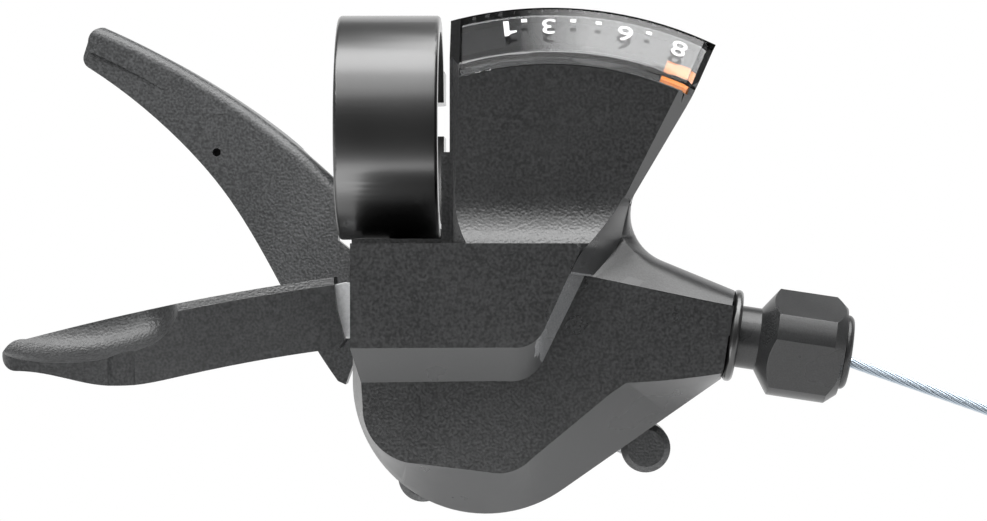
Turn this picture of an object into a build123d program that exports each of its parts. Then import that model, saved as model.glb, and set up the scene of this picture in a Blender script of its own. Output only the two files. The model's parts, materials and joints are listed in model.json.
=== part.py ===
from build123d import *
import os
from math import atan2, cos, degrees, hypot, radians, sin, tan

os.makedirs("parts", exist_ok=True)

# Frame: X runs along the handlebar, Z is up, depth d is measured towards the viewer (-Y).
# The origin is the centre of the clamp bore.

# Handlebar clamp
BAR_D = 22.2
BORE_PLAY = 0.05
BAND_T = 1.85
BAND_W = 11.8
SPLIT = 4.0
SPLIT_Z = 1.4
EAR_T = 3.8
EAR_OUT = 9.0
BOLT_R = 2.5
BAR_CLEAR = 0.8

# Main axis, body circle and depth levels
AX = 11.3
AZ = -29.0
BODY_R = 15.1
TOP_Z = -13.5
WALL = 1.6
D_LOGO = 20.2
D_PANEL = 16.6
D_EDGE = 9.5
D_RIM = 3.6
D_BACK = -13.0
SEAT = 0.1
FIT = 0.05

# Cable line and gear drum
CABLE_D = 1.2
CABLE_TILT = 8.5
CABLE_DEPTH = 10.0
DRUM_GAP = 5.9
DRUM_R = BODY_R - DRUM_GAP
CLICKS = 7
CLICK_DEG = 17.43
DRUM_RUN = 26.3
AXLE_R = 3.0

# Display: pointer pivot and arc
BX = 18.6
BZ = -30.2
GAUGE_DEG = 28.6
POINTER_DEG = 68.5
LENS_R = 38.0
LENS_T = 1.2
NECK_X = 7.4

# Layers of the mechanism, front to back
D_POINTER = 13.6
POINTER_T = 1.0
D_DRUM = 12.8
D_RATCHET = 4.2
RATCHET_T = 1.8
D_PLATE = -1.0
PLATE_T = 2.0
D_RELEASE = 1.6
RELEASE_T = 1.6
D_THUMB = -7.6
THUMB_T = 2.0
FOOT_D = 4.2

# Pivot of the release lever
STUD_IN = 5.0
SX = AX - BODY_R + STUD_IN
SZ = -21.5
STUD_R = 1.6

A = (AX, AZ)
B = (BX, BZ)
S = (SX, SZ)
BORE_R = BAR_D / 2 + BORE_PLAY
BAND_R = BORE_R + BAND_T
CLEAR_R = BAR_D / 2 + BAR_CLEAR
LEFT_X = AX - BODY_R
DRUM_DEG = CLICKS * CLICK_DEG
UX = cos(radians(CABLE_TILT))
UZ = -sin(radians(CABLE_TILT))
TX = AX - DRUM_R * UZ
TZ = AZ + DRUM_R * UX
QX = TX + DRUM_RUN * UX
QZ = TZ + DRUM_RUN * UZ


def front(d, at=(0.0, 0.0)):
    return Plane(origin=(at[0], -d, at[1]), x_dir=(1, 0, 0), z_dir=(0, -1, 0))


def across(x):
    return Plane(origin=(x, 0, 0), x_dir=(0, -1, 0), z_dir=(-1, 0, 0))


def radial(at, deg=0.0):
    c = cos(radians(deg))
    s = sin(radians(deg))
    return Plane(origin=(at[0], 0, at[1]), x_dir=(c, 0, s), z_dir=(s, 0, -c))


def spindle(at):
    return Axis((at[0], 0, at[1]), (0, -1, 0))


def polar(at, r, deg):
    return (at[0] + r * cos(radians(deg)), at[1] + r * sin(radians(deg)))


def along(s, rise=0.0):
    return (QX + s * UX - rise * UZ, QZ + s * UZ + rise * UX)


LINE_PLANE = Plane(origin=(QX, -CABLE_DEPTH, QZ), x_dir=(UX, 0, UZ), z_dir=(0, -1, 0))
LINE_AXIS = Axis((QX, -CABLE_DEPTH, QZ), (UX, 0, UZ))

# Clamp band: ring with two ears at the back and a foot that carries the shifter
EAR_D0 = -(BAND_R - 1.2)
EAR_D1 = -(BAND_R + EAR_OUT)
BOLT_D = -(BAND_R + EAR_OUT / 2 + 0.4)
FOOT_X0 = SX + 2.1
FOOT_W = 6.6
FOOT_SCREW_X = FOOT_X0 + 0.9
FOOT_SCREW_Z = -18.7
FOOT_SCREW_R = 1.5
FOOT_HEAD = 0.8
FOOT_Z = -20.9
UP_Z0 = SPLIT_Z + SPLIT / 2
UP_Z1 = UP_Z0 + EAR_T
LOW_Z1 = SPLIT_Z - SPLIT / 2
LOW_Z0 = LOW_Z1 - EAR_T
with BuildPart() as clamp_band:
    with BuildSketch(across(0)):
        Circle(BAND_R)
        with BuildLine():
            Polyline((EAR_D0, LOW_Z0), (EAR_D0, UP_Z1), (EAR_D1, UP_Z1), (EAR_D1, LOW_Z0), close=True)
        make_face()
        Circle(BORE_R, mode=Mode.SUBTRACT)
        with Locations(((EAR_D0 + EAR_D1) / 2 - 2, SPLIT_Z)):
            Rectangle(EAR_OUT + 12, SPLIT, mode=Mode.SUBTRACT)
    extrude(amount=BAND_W / 2, both=True)
    fillet(clamp_band.edges().filter_by(Axis.Z).sort_by(Axis.Y)[-4:], radius=2.6)
    fillet(clamp_band.edges().filter_by(GeomType.CIRCLE).sort_by(SortBy.RADIUS).filter_by(
        lambda e: abs(e.radius - BAND_R) < 0.01), radius=0.45)
    with BuildSketch(across(FOOT_X0 - FOOT_W / 2)):
        with BuildLine():
            Polyline((D_PLATE, -BORE_R - 0.6), (D_PLATE, FOOT_Z), (D_PLATE - FOOT_D, FOOT_Z),
                     (D_PLATE - FOOT_D, -BORE_R - 0.6), close=True)
        make_face()
        Circle(BORE_R + 0.5, mode=Mode.SUBTRACT)
    extrude(amount=-FOOT_W)
    with Locations(Plane(origin=(0, -BOLT_D, UP_Z1), z_dir=(0, 0, 1))):
        Hole(BOLT_R + FIT, depth=EAR_T + SPLIT + EAR_T)
    with Locations(front(D_PLATE, (FOOT_SCREW_X, FOOT_SCREW_Z))):
        Hole(FOOT_SCREW_R + FIT / 2, depth=FOOT_D)
clamp_band.part.label = "clamp_band"
export_step(clamp_band.part, "parts/clamp_band.step")

# Clamp bolt: socket head on the upper ear
HEAD_H = 4.0
with BuildPart() as clamp_bolt:
    with BuildSketch(Plane(origin=(0, -BOLT_D, LOW_Z0), z_dir=(0, 0, 1))):
        Circle(BOLT_R)
    extrude(amount=2 * EAR_T + SPLIT)
    with BuildSketch(Plane(origin=(0, -BOLT_D, UP_Z1), z_dir=(0, 0, 1))):
        Circle(BOLT_R * 1.66)
    extrude(amount=HEAD_H)
    fillet(clamp_bolt.edges().filter_by(GeomType.CIRCLE).sort_by(Axis.Z)[-1], radius=0.5)
    with BuildSketch(Plane(origin=(0, -BOLT_D, UP_Z1 + HEAD_H), z_dir=(0, 0, 1))):
        RegularPolygon(BOLT_R * 0.92, 6)
    extrude(amount=-2.6, mode=Mode.SUBTRACT)
clamp_bolt.part.label = "clamp_bolt"
export_step(clamp_bolt.part, "parts/clamp_bolt.step")

# Foot screw: flush in the base plate, threaded into the clamp foot
D_FRONT_PLATE = D_PLATE + PLATE_T
with BuildPart() as foot_screw:
    with BuildSketch(radial((FOOT_SCREW_X, FOOT_SCREW_Z))):
        with BuildLine():
            Polyline((0, D_PLATE - FOOT_D + 0.4), (FOOT_SCREW_R, D_PLATE - FOOT_D + 0.4),
                     (FOOT_SCREW_R, D_FRONT_PLATE - 1.3), (FOOT_SCREW_R + FOOT_HEAD, D_FRONT_PLATE),
                     (0, D_FRONT_PLATE), close=True)
        make_face()
    revolve(axis=spindle((FOOT_SCREW_X, FOOT_SCREW_Z)))
    with BuildSketch(front(D_FRONT_PLATE, (FOOT_SCREW_X, FOOT_SCREW_Z))):
        Rectangle(3.0, 0.8)
        Rectangle(0.8, 3.0)
    extrude(amount=-1.2, mode=Mode.SUBTRACT)
foot_screw.part.label = "foot_screw"
export_step(foot_screw.part, "parts/foot_screw.step")

# Front cover outline: body circle, cable nose, cove and neck
NOSE_H = 5.06
LOW_DEG = 35.4
COVE_X = 25.1
COVE_Z = -12.8
COVE_R = 5.7
NECK_DEG = 58.8
NOSE_DEG = -23.1
LENS_END = 64.5
LENS_RISE = 5.3
LENS_D0 = 17.7
LENS_D1 = 11.6
LIP = 1.5
LIP_D = 18.1
NECK_TOP_R = LENS_R + LENS_RISE
NECK_BACK_D = 8.6
COVE = (COVE_X, COVE_Z)
half = (NECK_DEG - NOSE_DEG) / 2
reach = COVE_R / tan(radians(half))
cove_up = polar(COVE, reach, NECK_DEG)
cove_side = polar(COVE, reach, NOSE_DEG)
cove_mid = polar(COVE, COVE_R / sin(radians(half)) - COVE_R, (NECK_DEG + NOSE_DEG) / 2)
low_t = polar(A, BODY_R, LOW_DEG - 90)
nose_lo = along(0, -NOSE_H)
nose_hi = along(0, NOSE_H)
low_m = (0.35 * low_t[0] + 0.65 * nose_lo[0], 0.35 * low_t[1] + 0.65 * nose_lo[1])
lip_r = polar(B, LENS_R - LIP, LENS_END - 0.1)
neck_tr = polar(B, NECK_TOP_R, LENS_END)
neck_tl = (NECK_X, BZ + (NECK_TOP_R ** 2 - (BX - NECK_X) ** 2) ** 0.5)
panel_nose_lo = along(-0.2, -3.9)
panel_nose_hi = along(-0.2, 3.6)
ridge = (AX + 12.8, TOP_Z - 3.9)
flank_lo = (AX + 15.1, TOP_Z + 0.1)
flank_deg = degrees(atan2(lip_r[1] - cove_up[1], lip_r[0] - cove_up[0]))
flank_hi = polar(cove_up, -1.8, flank_deg)
above_cove = (0.8 * cove_up[0] + 0.2 * lip_r[0], 0.8 * cove_up[1] + 0.2 * lip_r[1])
D_ROLL = 13.9
ROLL_IN = 1.9
side_in = polar(cove_side, -ROLL_IN, NOSE_DEG + 90)
mid_in = polar(cove_mid, -0.58 * ROLL_IN, (NECK_DEG + NOSE_DEG) / 2)

# Cover body: straight rim, then a bevel from the outer outline up to the panel outline
with BuildPart() as cover_body:
    with BuildSketch(front(D_RIM)):
        with BuildLine():
            Line((LEFT_X, TOP_Z), (LEFT_X, AZ))
            CenterArc(A, BODY_R, 180, 90 + LOW_DEG)
            Polyline(low_t, nose_lo, nose_hi, cove_side, (cove_side[0] - 4, TOP_Z), (LEFT_X, TOP_Z))
        make_face()
    extrude(amount=D_EDGE - D_RIM)
    with BuildSketch(front(D_EDGE)):
        with BuildLine():
            Line((LEFT_X, TOP_Z), (LEFT_X, AZ))
            CenterArc(A, BODY_R, 180, 50)
            CenterArc(A, BODY_R, 230, 35)
            CenterArc(A, BODY_R, 265, 5 + LOW_DEG)
            Polyline(low_t, low_m, nose_lo, nose_hi, cove_side, (cove_side[0] - 4, TOP_Z), (LEFT_X, TOP_Z))
        make_face()
    with BuildSketch(front(D_PANEL)):
        with BuildLine():
            Line((LEFT_X + 0.3, TOP_Z), (LEFT_X + 1.5, AZ - 2.5))
            ThreePointArc((LEFT_X + 1.5, AZ - 2.5), (LEFT_X + 2.8, AZ - 6.6), (LEFT_X + 6.4, AZ - 8.9))
            Line((LEFT_X + 6.4, AZ - 8.9), (AX + 0.6, AZ - 10.0))
            ThreePointArc((AX + 0.6, AZ - 10.0), (AX + 3.0, AZ - 9.9), (AX + 5.1, AZ - 8.6))
            Polyline((AX + 5.1, AZ - 8.6), (AX + 15.6, AZ + 0.1), panel_nose_lo, panel_nose_hi, ridge,
                     (ridge[0] - 0.6, TOP_Z), (LEFT_X + 0.3, TOP_Z))
        make_face()
    loft(ruled=True)
    # Rounded crown on top of the nose
    with BuildSketch(front(D_EDGE)):
        with BuildLine():
            Polyline(along(0, 0), nose_hi, cove_side, (AX + 10, AZ + 8), along(0, 0))
        make_face()
    with BuildSketch(front(D_ROLL)):
        with BuildLine():
            Polyline(along(0, 0), along(0, NOSE_H - 0.6), side_in, (AX + 10, AZ + 8), along(0, 0))
        make_face()
    loft(ruled=True)
    with BuildSketch(front(D_ROLL)):
        with BuildLine():
            Polyline(along(0, 0), along(0, NOSE_H - 0.6), side_in, (AX + 10, AZ + 8), along(0, 0))
        make_face()
    with BuildSketch(front(D_PANEL)):
        with BuildLine():
            Polyline(along(0, 0), panel_nose_hi, ridge, (AX + 10, AZ + 8), along(0, 0))
        make_face()
    loft(ruled=True)
    with BuildSketch(front(D_EDGE)):
        with BuildLine():
            Polyline(neck_tl, (NECK_X, AZ + 8), (cove_side[0], AZ + 8), cove_side)
            ThreePointArc(cove_side, cove_mid, cove_up)
            Polyline(cove_up, above_cove, lip_r, neck_tr)
            ThreePointArc(neck_tr, polar(B, NECK_TOP_R, 86), neck_tl)
        make_face()
    with BuildSketch(front(D_ROLL)):
        with BuildLine():
            Polyline(neck_tl, (NECK_X, AZ + 8), (side_in[0], AZ + 8), side_in)
            ThreePointArc(side_in, mid_in, flank_hi)
            Polyline(flank_hi, above_cove, lip_r, neck_tr)
            ThreePointArc(neck_tr, polar(B, NECK_TOP_R, 86), neck_tl)
        make_face()
    loft(ruled=True)
    with BuildSketch(front(D_ROLL)):
        with BuildLine():
            Polyline(neck_tl, (NECK_X, AZ + 8), (side_in[0], AZ + 8), side_in)
            ThreePointArc(side_in, mid_in, flank_hi)
            Polyline(flank_hi, above_cove, lip_r, neck_tr)
            ThreePointArc(neck_tr, polar(B, NECK_TOP_R, 86), neck_tl)
        make_face()
    with BuildSketch(front(D_PANEL)):
        with BuildLine():
            Polyline(neck_tl, (NECK_X, AZ + 8), (ridge[0], AZ + 8), ridge)
            ThreePointArc(ridge, (AX + 13.85, TOP_Z - 1.9), flank_lo)
            Polyline(flank_lo, flank_hi, lip_r, neck_tr)
            ThreePointArc(neck_tr, polar(B, NECK_TOP_R, 86), neck_tl)
        make_face()
    loft(ruled=True)
    with BuildSketch(front(D_PANEL)):
        with BuildLine():
            Line((LEFT_X + 0.3, TOP_Z), (LEFT_X + 1.33, TOP_Z - 15.5))
            Line((LEFT_X + 1.33, TOP_Z - 15.5), (AX + 2.2, TOP_Z - 15.3))
            ThreePointArc((AX + 2.2, TOP_Z - 15.3), (AX + 4.8, TOP_Z - 14.9), (AX + 6.4, TOP_Z - 13.3))
            Line((AX + 6.4, TOP_Z - 13.3), (AX + 12.5, TOP_Z - 0.8))
            ThreePointArc((AX + 12.5, TOP_Z - 0.8), (AX + 12.5, TOP_Z - 0.2), (AX + 12.0, TOP_Z))
            Line((AX + 12.0, TOP_Z), (LEFT_X + 0.3, TOP_Z))
        make_face()
    with BuildSketch(front(D_LOGO)):
        with BuildLine():
            Line((LEFT_X + 0.3, TOP_Z), (LEFT_X + 0.3, TOP_Z - 11.6))
            Line((LEFT_X + 0.3, TOP_Z - 11.6), (AX + 3.0, TOP_Z - 11.5))
            ThreePointArc((AX + 3.0, TOP_Z - 11.5), (AX + 5.2, TOP_Z - 11.1), (AX + 6.6, TOP_Z - 9.6))
            Line((AX + 6.6, TOP_Z - 9.6), (AX + 10.4, TOP_Z - 1.3))
            ThreePointArc((AX + 10.4, TOP_Z - 1.3), (AX + 10.4, TOP_Z - 0.4), (AX + 9.7, TOP_Z))
            Line((AX + 9.7, TOP_Z), (LEFT_X + 0.3, TOP_Z))
        make_face()
    loft(ruled=True)

# Neck front: scooped slab over the panel level, with a sloping flank on its right edge
SCOOP_D_NECK = 17.2
SCOOP_Z = TOP_Z + 5.8
LEDGE = 0.7
FLANK_DEG = 30
FLANK_D = 15.8
with BuildPart() as neck:
    with BuildSketch(front(D_PANEL - 0.5)):
        with BuildLine():
            Polyline(flank_lo, ridge, (AX + 8.5, TOP_Z - 3.9), (NECK_X, TOP_Z - 3.9), neck_tl)
            ThreePointArc(neck_tl, polar(B, NECK_TOP_R, 86), neck_tr)
            Polyline(neck_tr, lip_r, flank_hi, flank_lo)
        make_face()
    extrude(amount=D_LOGO - D_PANEL + 0.5, taper=FLANK_DEG)
    with BuildSketch(across(NECK_X - 20)):
        with BuildLine():
            TangentArc((SCOOP_D_NECK, SCOOP_Z), (D_LOGO - LEDGE, TOP_Z),
                       tangent=(SCOOP_D_NECK - LIP_D, SCOOP_Z - (LENS_R - LIP + BZ)))
            Polyline((SCOOP_D_NECK, SCOOP_Z), (LIP_D, LENS_R - LIP + BZ), (LIP_D, 20), (NECK_BACK_D, 20),
                     (NECK_BACK_D, TOP_Z - 6),
                     (D_LOGO - LEDGE, TOP_Z - 6), (D_LOGO - LEDGE, TOP_Z))
        make_face()
    extrude(amount=-80, mode=Mode.INTERSECT)

# Window in the neck: room for the lens, the dial plate and the pointer
LENS_LEFT = NECK_X + 1.1
LENS_TILT = atan2(LENS_D0 - LENS_D1, LENS_RISE)
lens_in = (NECK_TOP_R - LENS_T * sin(LENS_TILT), LENS_D1 - LENS_T * cos(LENS_TILT))
lip_in = (LENS_R - 0.65, LENS_D0 - 1.05)
lip_lo = (LENS_R - LIP, LIP_D - LENS_T)
plate_lo = (LENS_R + 0.6, D_POINTER - 0.24)
plate_hi = (LENS_R + 3.2, D_POINTER - 3.24)
PLATE_IN = 0.45
plate_lo_b = (plate_lo[0] - PLATE_IN, plate_lo[1] - PLATE_IN * 0.87)
plate_hi_b = (plate_hi[0] - PLATE_IN, plate_hi[1] - PLATE_IN * 0.87)
CHAMBER_R = LENS_R - 3
END_WALL = 1.3
with BuildPart() as window_cut:
    with BuildSketch(radial(B, LENS_END - 4)):
        with BuildLine():
            Polyline((LENS_R - LIP, LIP_D), (LENS_R, LENS_D0), (NECK_TOP_R, LENS_D1), lens_in, lip_in,
                     lip_lo, close=True)
        make_face()
    revolve(axis=spindle(B), revolution_arc=52)
    with BuildSketch(radial(B, LENS_END + END_WALL)):
        with BuildLine():
            Polyline(lip_lo, lip_in, lens_in, plate_hi_b, plate_lo_b, (plate_lo_b[0], D_POINTER - 0.4),
                     (CHAMBER_R, D_POINTER - 0.4), (CHAMBER_R, lip_lo[1] - 0.7), close=True)
        make_face()
    revolve(axis=spindle(B), revolution_arc=45)
    with BuildSketch(front(0)):
        with Locations((LENS_LEFT - 20, 5)):
            Rectangle(40, 80)
    extrude(amount=40, mode=Mode.SUBTRACT)

# Pointer arm path from its pivot to the window, with a bow past the neck
ARM_W = 2.0
BEND_R = 21.0
BEND_DEG = 7.0
arm_bend = polar(B, BEND_R, POINTER_DEG + BEND_DEG)
arm_end = polar(B, LENS_R - 2, POINTER_DEG)
FOLLOW_R = 8.2
FOLLOW_DEG = degrees(atan2(BZ - AZ, BX - AX)) + 112
follow = polar(B, FOLLOW_R, FOLLOW_DEG)
GAP = 0.45
edge_b = degrees((ARM_W / 2 + GAP) / BEND_R)
edge_e = degrees((ARM_W / 2 + GAP) / (LENS_R - 2))
far_r = POINTER_DEG - edge_e
far_l = POINTER_DEG + GAUGE_DEG + edge_e
FAR = CHAMBER_R + 1.2
with BuildPart() as arm_cut:
    with BuildSketch(front(D_POINTER - GAP)):
        with BuildLine():
            Polyline(polar(B, FAR, far_r), polar(B, BEND_R, POINTER_DEG + BEND_DEG - edge_b),
                     polar(B, 8, POINTER_DEG - 12), polar(B, 2.6, POINTER_DEG - 45),
                     polar(B, 2.6, POINTER_DEG + GAUGE_DEG + 70),
                     polar(B, 8, POINTER_DEG + GAUGE_DEG + 34),
                     polar(B, BEND_R, POINTER_DEG + BEND_DEG + GAUGE_DEG + edge_b), polar(B, FAR, far_l))
            ThreePointArc(polar(B, FAR, far_l), polar(B, FAR, (far_r + far_l) / 2), polar(B, FAR, far_r))
        make_face()
    extrude(amount=POINTER_T + 2 * GAP)

# Front cover, joined, hollowed and bored
D_INNER = D_PANEL - WALL
INNER_R = BODY_R - 1.7
DRUM_RIM = DRUM_R + 1.1
COLLAR_R = 5.2
COLLAR_T = 1.1
STEM_R = 3.5
BUSH_R = 4.3
BUSH_L = 7.0
SCREW_R = 1.2
BOSS_R = 2.2
boss_a = along(-8.6, 4.6)
boss_b = (AX + BODY_R + 2.7, AZ - 1.8)
PORT_R = 2.6
PORT_Z = TZ + (LEFT_X - TX) * UZ / UX
SHELF_Z = TOP_Z - WALL
WEB_W = 0.95
WEB_H = 10.2
with BuildPart() as front_cover:
    add(cover_body.part)
    add(neck.part)
    # Lip under the band and web beside the foot of the neck
    with BuildSketch(front(D_EDGE)):
        with Locations((LEFT_X, TOP_Z - 0.5)):
            Rectangle(NECK_X - LEFT_X, 1.05, align=(Align.MIN, Align.MIN))
    extrude(amount=2.4)
    with BuildSketch(front(D_PANEL - 5)):
        with Locations((NECK_X - WEB_W, TOP_Z - 0.5)):
            Rectangle(WEB_W + 0.5, WEB_H + 0.5, align=(Align.MIN, Align.MIN))
    extrude(amount=4.4)
    # Slope of the nose front towards the collar
    with BuildSketch(Plane(origin=(0, 0, TOP_Z - 3), x_dir=(1, 0, 0), z_dir=(0, 0, -1))):
        with BuildLine():
            Polyline((AX + 14, D_PANEL), (QX + 4, D_PANEL - 2.3), (QX + 4, D_PANEL + 8),
                     (AX + 14, D_PANEL + 8), close=True)
        make_face()
    extrude(amount=40, mode=Mode.SUBTRACT)
    # Free room round the handlebar
    with BuildSketch(across(-20)):
        Circle(CLEAR_R)
    extrude(amount=-80, mode=Mode.SUBTRACT)
    # Sloping flank along the right edge of the neck
    for low, high in ((flank_lo, flank_hi), (flank_hi, neck_tr)):
        way = degrees(atan2(high[1] - low[1], high[0] - low[0]))
        run = hypot(high[0] - low[0], high[1] - low[1])
        start = polar(low, -0.4, way)
        with BuildSketch(Plane(origin=(start[0], 0, start[1]),
                               x_dir=(-sin(radians(way)), 0, cos(radians(way))),
                               z_dir=(cos(radians(way)), 0, sin(radians(way))))):
            with BuildLine():
                rise = 1 / tan(radians(FLANK_DEG))
                Polyline((-1, FLANK_D - rise), (3, FLANK_D + 3 * rise), (-1, FLANK_D + 3 * rise), close=True)
            make_face()
        extrude(amount=run + 0.8, mode=Mode.SUBTRACT)
    # Crown of the neck follows the lens, then the window is cut
    with BuildSketch(radial(B, 50)):
        with BuildLine():
            Polyline((LENS_R - LIP, LIP_D), (LENS_R, LENS_D0), (NECK_TOP_R, LENS_D1), (NECK_TOP_R, 0),
                     (60, 0), (60, 30), (LENS_R - LIP, 30), close=True)
        make_face()
    revolve(axis=spindle(B), revolution_arc=80, mode=Mode.SUBTRACT)
    add(window_cut.part, mode=Mode.SUBTRACT)
    add(arm_cut.part, mode=Mode.SUBTRACT)
    # Room for the drum and the ratchet
    with BuildSketch(radial(A)):
        with BuildLine():
            Polyline((0, D_RIM), (INNER_R, D_RIM), (INNER_R, D_EDGE - 0.6),
                     (DRUM_RIM + 0.6, D_POINTER - 0.2), (8.8, D_INNER), (0, D_INNER), close=True)
        make_face()
    revolve(axis=spindle(A), mode=Mode.SUBTRACT)
    with BuildSketch(front(D_POINTER - GAP, B)):
        Circle(2.6)
    extrude(amount=D_INNER - D_POINTER + GAP, mode=Mode.SUBTRACT)
    # Room for the release stud and the hold pawl at the left
    with BuildSketch(front(D_RIM)):
        with Locations((LEFT_X + 1.7, SHELF_Z)):
            Rectangle(8, AZ * -1 + SHELF_Z, align=(Align.MIN, Align.MAX))
    extrude(amount=3.2, mode=Mode.SUBTRACT)
    # Cable passage, adjuster bush bore and cable port
    with BuildSketch(Plane(origin=(QX, -CABLE_DEPTH, QZ), x_dir=(0, -1, 0), z_dir=(UX, 0, UZ))):
        Circle(BUSH_R)
    extrude(amount=-BUSH_L, mode=Mode.SUBTRACT)
    with BuildSketch(Plane(origin=(QX, -CABLE_DEPTH, QZ), x_dir=(0, -1, 0), z_dir=(UX, 0, UZ))):
        Circle(STEM_R + 0.2)
    extrude(amount=-DRUM_RUN + 6, mode=Mode.SUBTRACT)
    with BuildSketch(Plane(origin=(LEFT_X - 1, -CABLE_DEPTH, PORT_Z), z_dir=(1, 0, 0))):
        Circle(PORT_R)
    extrude(amount=WALL + 4, mode=Mode.SUBTRACT)
    # Pointer pivot bore and screw bores
    with BuildSketch(front(D_INNER, B)):
        Circle(0.8)
    extrude(amount=0.8, mode=Mode.SUBTRACT)
    with BuildSketch(front(D_RIM)):
        with Locations(boss_a, boss_b):
            Circle(SCREW_R + FIT / 2)
    extrude(amount=4.2, mode=Mode.SUBTRACT)
front_cover.part.label = "front_cover"
export_step(front_cover.part, "parts/front_cover.step")

FACET = 0.9
FACET_DEG = 1.9
FOLD_R = 1.0

# Display lens: bent clear cover with a front lip and a closed right end
with BuildPart() as display_lens:
    with BuildSketch(radial(B, LENS_END)):
        with BuildLine():
            Polyline((LENS_R - LIP, LIP_D), (LENS_R, LENS_D0), (NECK_TOP_R, LENS_D1), lens_in, lip_in,
                     lip_lo, close=True)
        make_face()
        near_fold = vertices().sort_by(lambda v: hypot(v.X - LENS_R, v.Y - LENS_D0))[0]
        fillet(near_fold, FOLD_R)
        near_top = vertices().sort_by(lambda v: hypot(v.X - NECK_TOP_R, v.Y - LENS_D1))[0]
        fillet(near_top, 0.35)
        near_lip = vertices().sort_by(lambda v: hypot(v.X - LENS_R + LIP, v.Y - LIP_D))[0]
        fillet(near_lip, 0.25)
    revolve(axis=spindle(B), revolution_arc=50)
    with BuildSketch(front(0)):
        with Locations((LENS_LEFT - 20, 5)):
            Rectangle(40, 80)
    extrude(amount=40, mode=Mode.SUBTRACT)
    # Facet on the right end
    for deg, cut in ((LENS_END - 0.1, FACET), (LENS_END + FACET_DEG, -0.05)):
        with BuildSketch(radial(B, deg)):
            with BuildLine():
                Polyline((LENS_R - LIP - 1, LIP_D - cut), (LENS_R - 0.5 * cut, LENS_D0 - 0.8 * cut),
                         (NECK_TOP_R + 1 - 0.7 * cut, LENS_D1 - 1.15 - 0.6 * cut),
                         (NECK_TOP_R + 3, LENS_D1), (LENS_R, LIP_D + 3),
                         (LENS_R - LIP - 1, LIP_D + 1), close=True)
            make_face()
    loft(ruled=True, mode=Mode.SUBTRACT)
display_lens.part.label = "display_lens"
export_step(display_lens.part, "parts/display_lens.step")

# Dial plate: slanted strip behind the pointer, under the numerals
with BuildPart() as dial_plate:
    with BuildSketch(radial(B, LENS_END + END_WALL)):
        with BuildLine():
            Polyline(plate_lo, plate_hi, plate_hi_b, plate_lo_b, close=True)
        make_face()
    revolve(axis=spindle(B), revolution_arc=45)
    with BuildSketch(front(0)):
        with Locations((LENS_LEFT - 20, 5)):
            Rectangle(40, 80)
    extrude(amount=40, mode=Mode.SUBTRACT)
dial_plate.part.label = "dial_plate"
export_step(dial_plate.part, "parts/dial_plate.step")

# Pointer: bent arm with a flag in the window and a follower pin in the drum cam
FLAG_W = 2.8
PIN_R = 0.7
CAM_DEPTH = 1.2
with BuildPart() as pointer:
    with BuildSketch(front(D_POINTER)):
        with BuildLine():
            Polyline(B, arm_bend, arm_end)
        trace(line_width=ARM_W)
        with BuildLine():
            Polyline(B, follow)
        trace(line_width=ARM_W)
        with Locations(B):
            Circle(2.1)
        with Locations(follow):
            Circle(1.4)
        with Locations(B):
            Circle(0.8 + FIT, mode=Mode.SUBTRACT)
    extrude(amount=POINTER_T)
    with BuildSketch(front(D_POINTER)):
        with Locations(follow):
            Circle(PIN_R)
    extrude(amount=-(D_POINTER - D_DRUM + CAM_DEPTH - 0.15))
    with BuildSketch(radial(B, POINTER_DEG)):
        with BuildLine():
            Polyline((CHAMBER_R + 0.5, D_POINTER), (CHAMBER_R + 0.5, D_POINTER + 2.3),
                     (LENS_R - LIP + 0.2, D_POINTER + 2.8), (LENS_R - 1.0, D_POINTER + 2.8),
                     (LENS_R + 1.0, D_POINTER + 0.3), (LENS_R + 1.0, D_POINTER), close=True)
        make_face()
    extrude(amount=FLAG_W / 2, both=True)
pointer.part.label = "pointer"
export_step(pointer.part, "parts/pointer.step")

# Pointer pivot: headed pin set in the cover
with BuildPart() as pointer_pin:
    with BuildSketch(front(D_INNER + 0.8, B)):
        Circle(0.8)
    extrude(amount=-(D_INNER + 0.8 - D_POINTER + 0.1))
    with BuildSketch(front(D_POINTER - 0.1, B)):
        Circle(1.6)
    extrude(amount=-0.4)
pointer_pin.part.label = "pointer_pin"
export_step(pointer_pin.part, "parts/pointer_pin.step")

# Main axle with end grooves
D_HUB_BACK = -10.4
CLIP_T = 0.5
with BuildPart() as main_axle:
    with BuildSketch(radial(A)):
        with BuildLine():
            Polyline((0, D_HUB_BACK - 0.7), (AXLE_R - 0.4, D_HUB_BACK - 0.7),
                     (AXLE_R - 0.4, D_HUB_BACK - 0.1), (AXLE_R, D_HUB_BACK - 0.1), (AXLE_R, D_DRUM + 0.1),
                     (AXLE_R - 0.5, D_DRUM + 0.1), (AXLE_R - 0.5, D_DRUM + 0.9), (0, D_DRUM + 0.9),
                     close=True)
        make_face()
    revolve(axis=spindle(A))
main_axle.part.label = "main_axle"
export_step(main_axle.part, "parts/main_axle.step")

# Retaining clips at both ends of the axle
with BuildPart() as axle_clips:
    with BuildSketch(front(D_DRUM + 0.1, A)):
        Circle(AXLE_R + 0.7)
        Circle(AXLE_R - 0.5, mode=Mode.SUBTRACT)
        Rectangle(2.6, 10, align=(Align.CENTER, Align.MIN), mode=Mode.SUBTRACT)
    extrude(amount=CLIP_T)
    with BuildSketch(front(D_HUB_BACK - 0.1, A)):
        Circle(AXLE_R + 1.2)
        Circle(AXLE_R - 0.4, mode=Mode.SUBTRACT)
        Rectangle(2.6, 10, align=(Align.CENTER, Align.MIN), mode=Mode.SUBTRACT)
    extrude(amount=-CLIP_T)
axle_clips.part.label = "axle_clips"
export_step(axle_clips.part, "parts/axle_clips.step")

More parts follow.
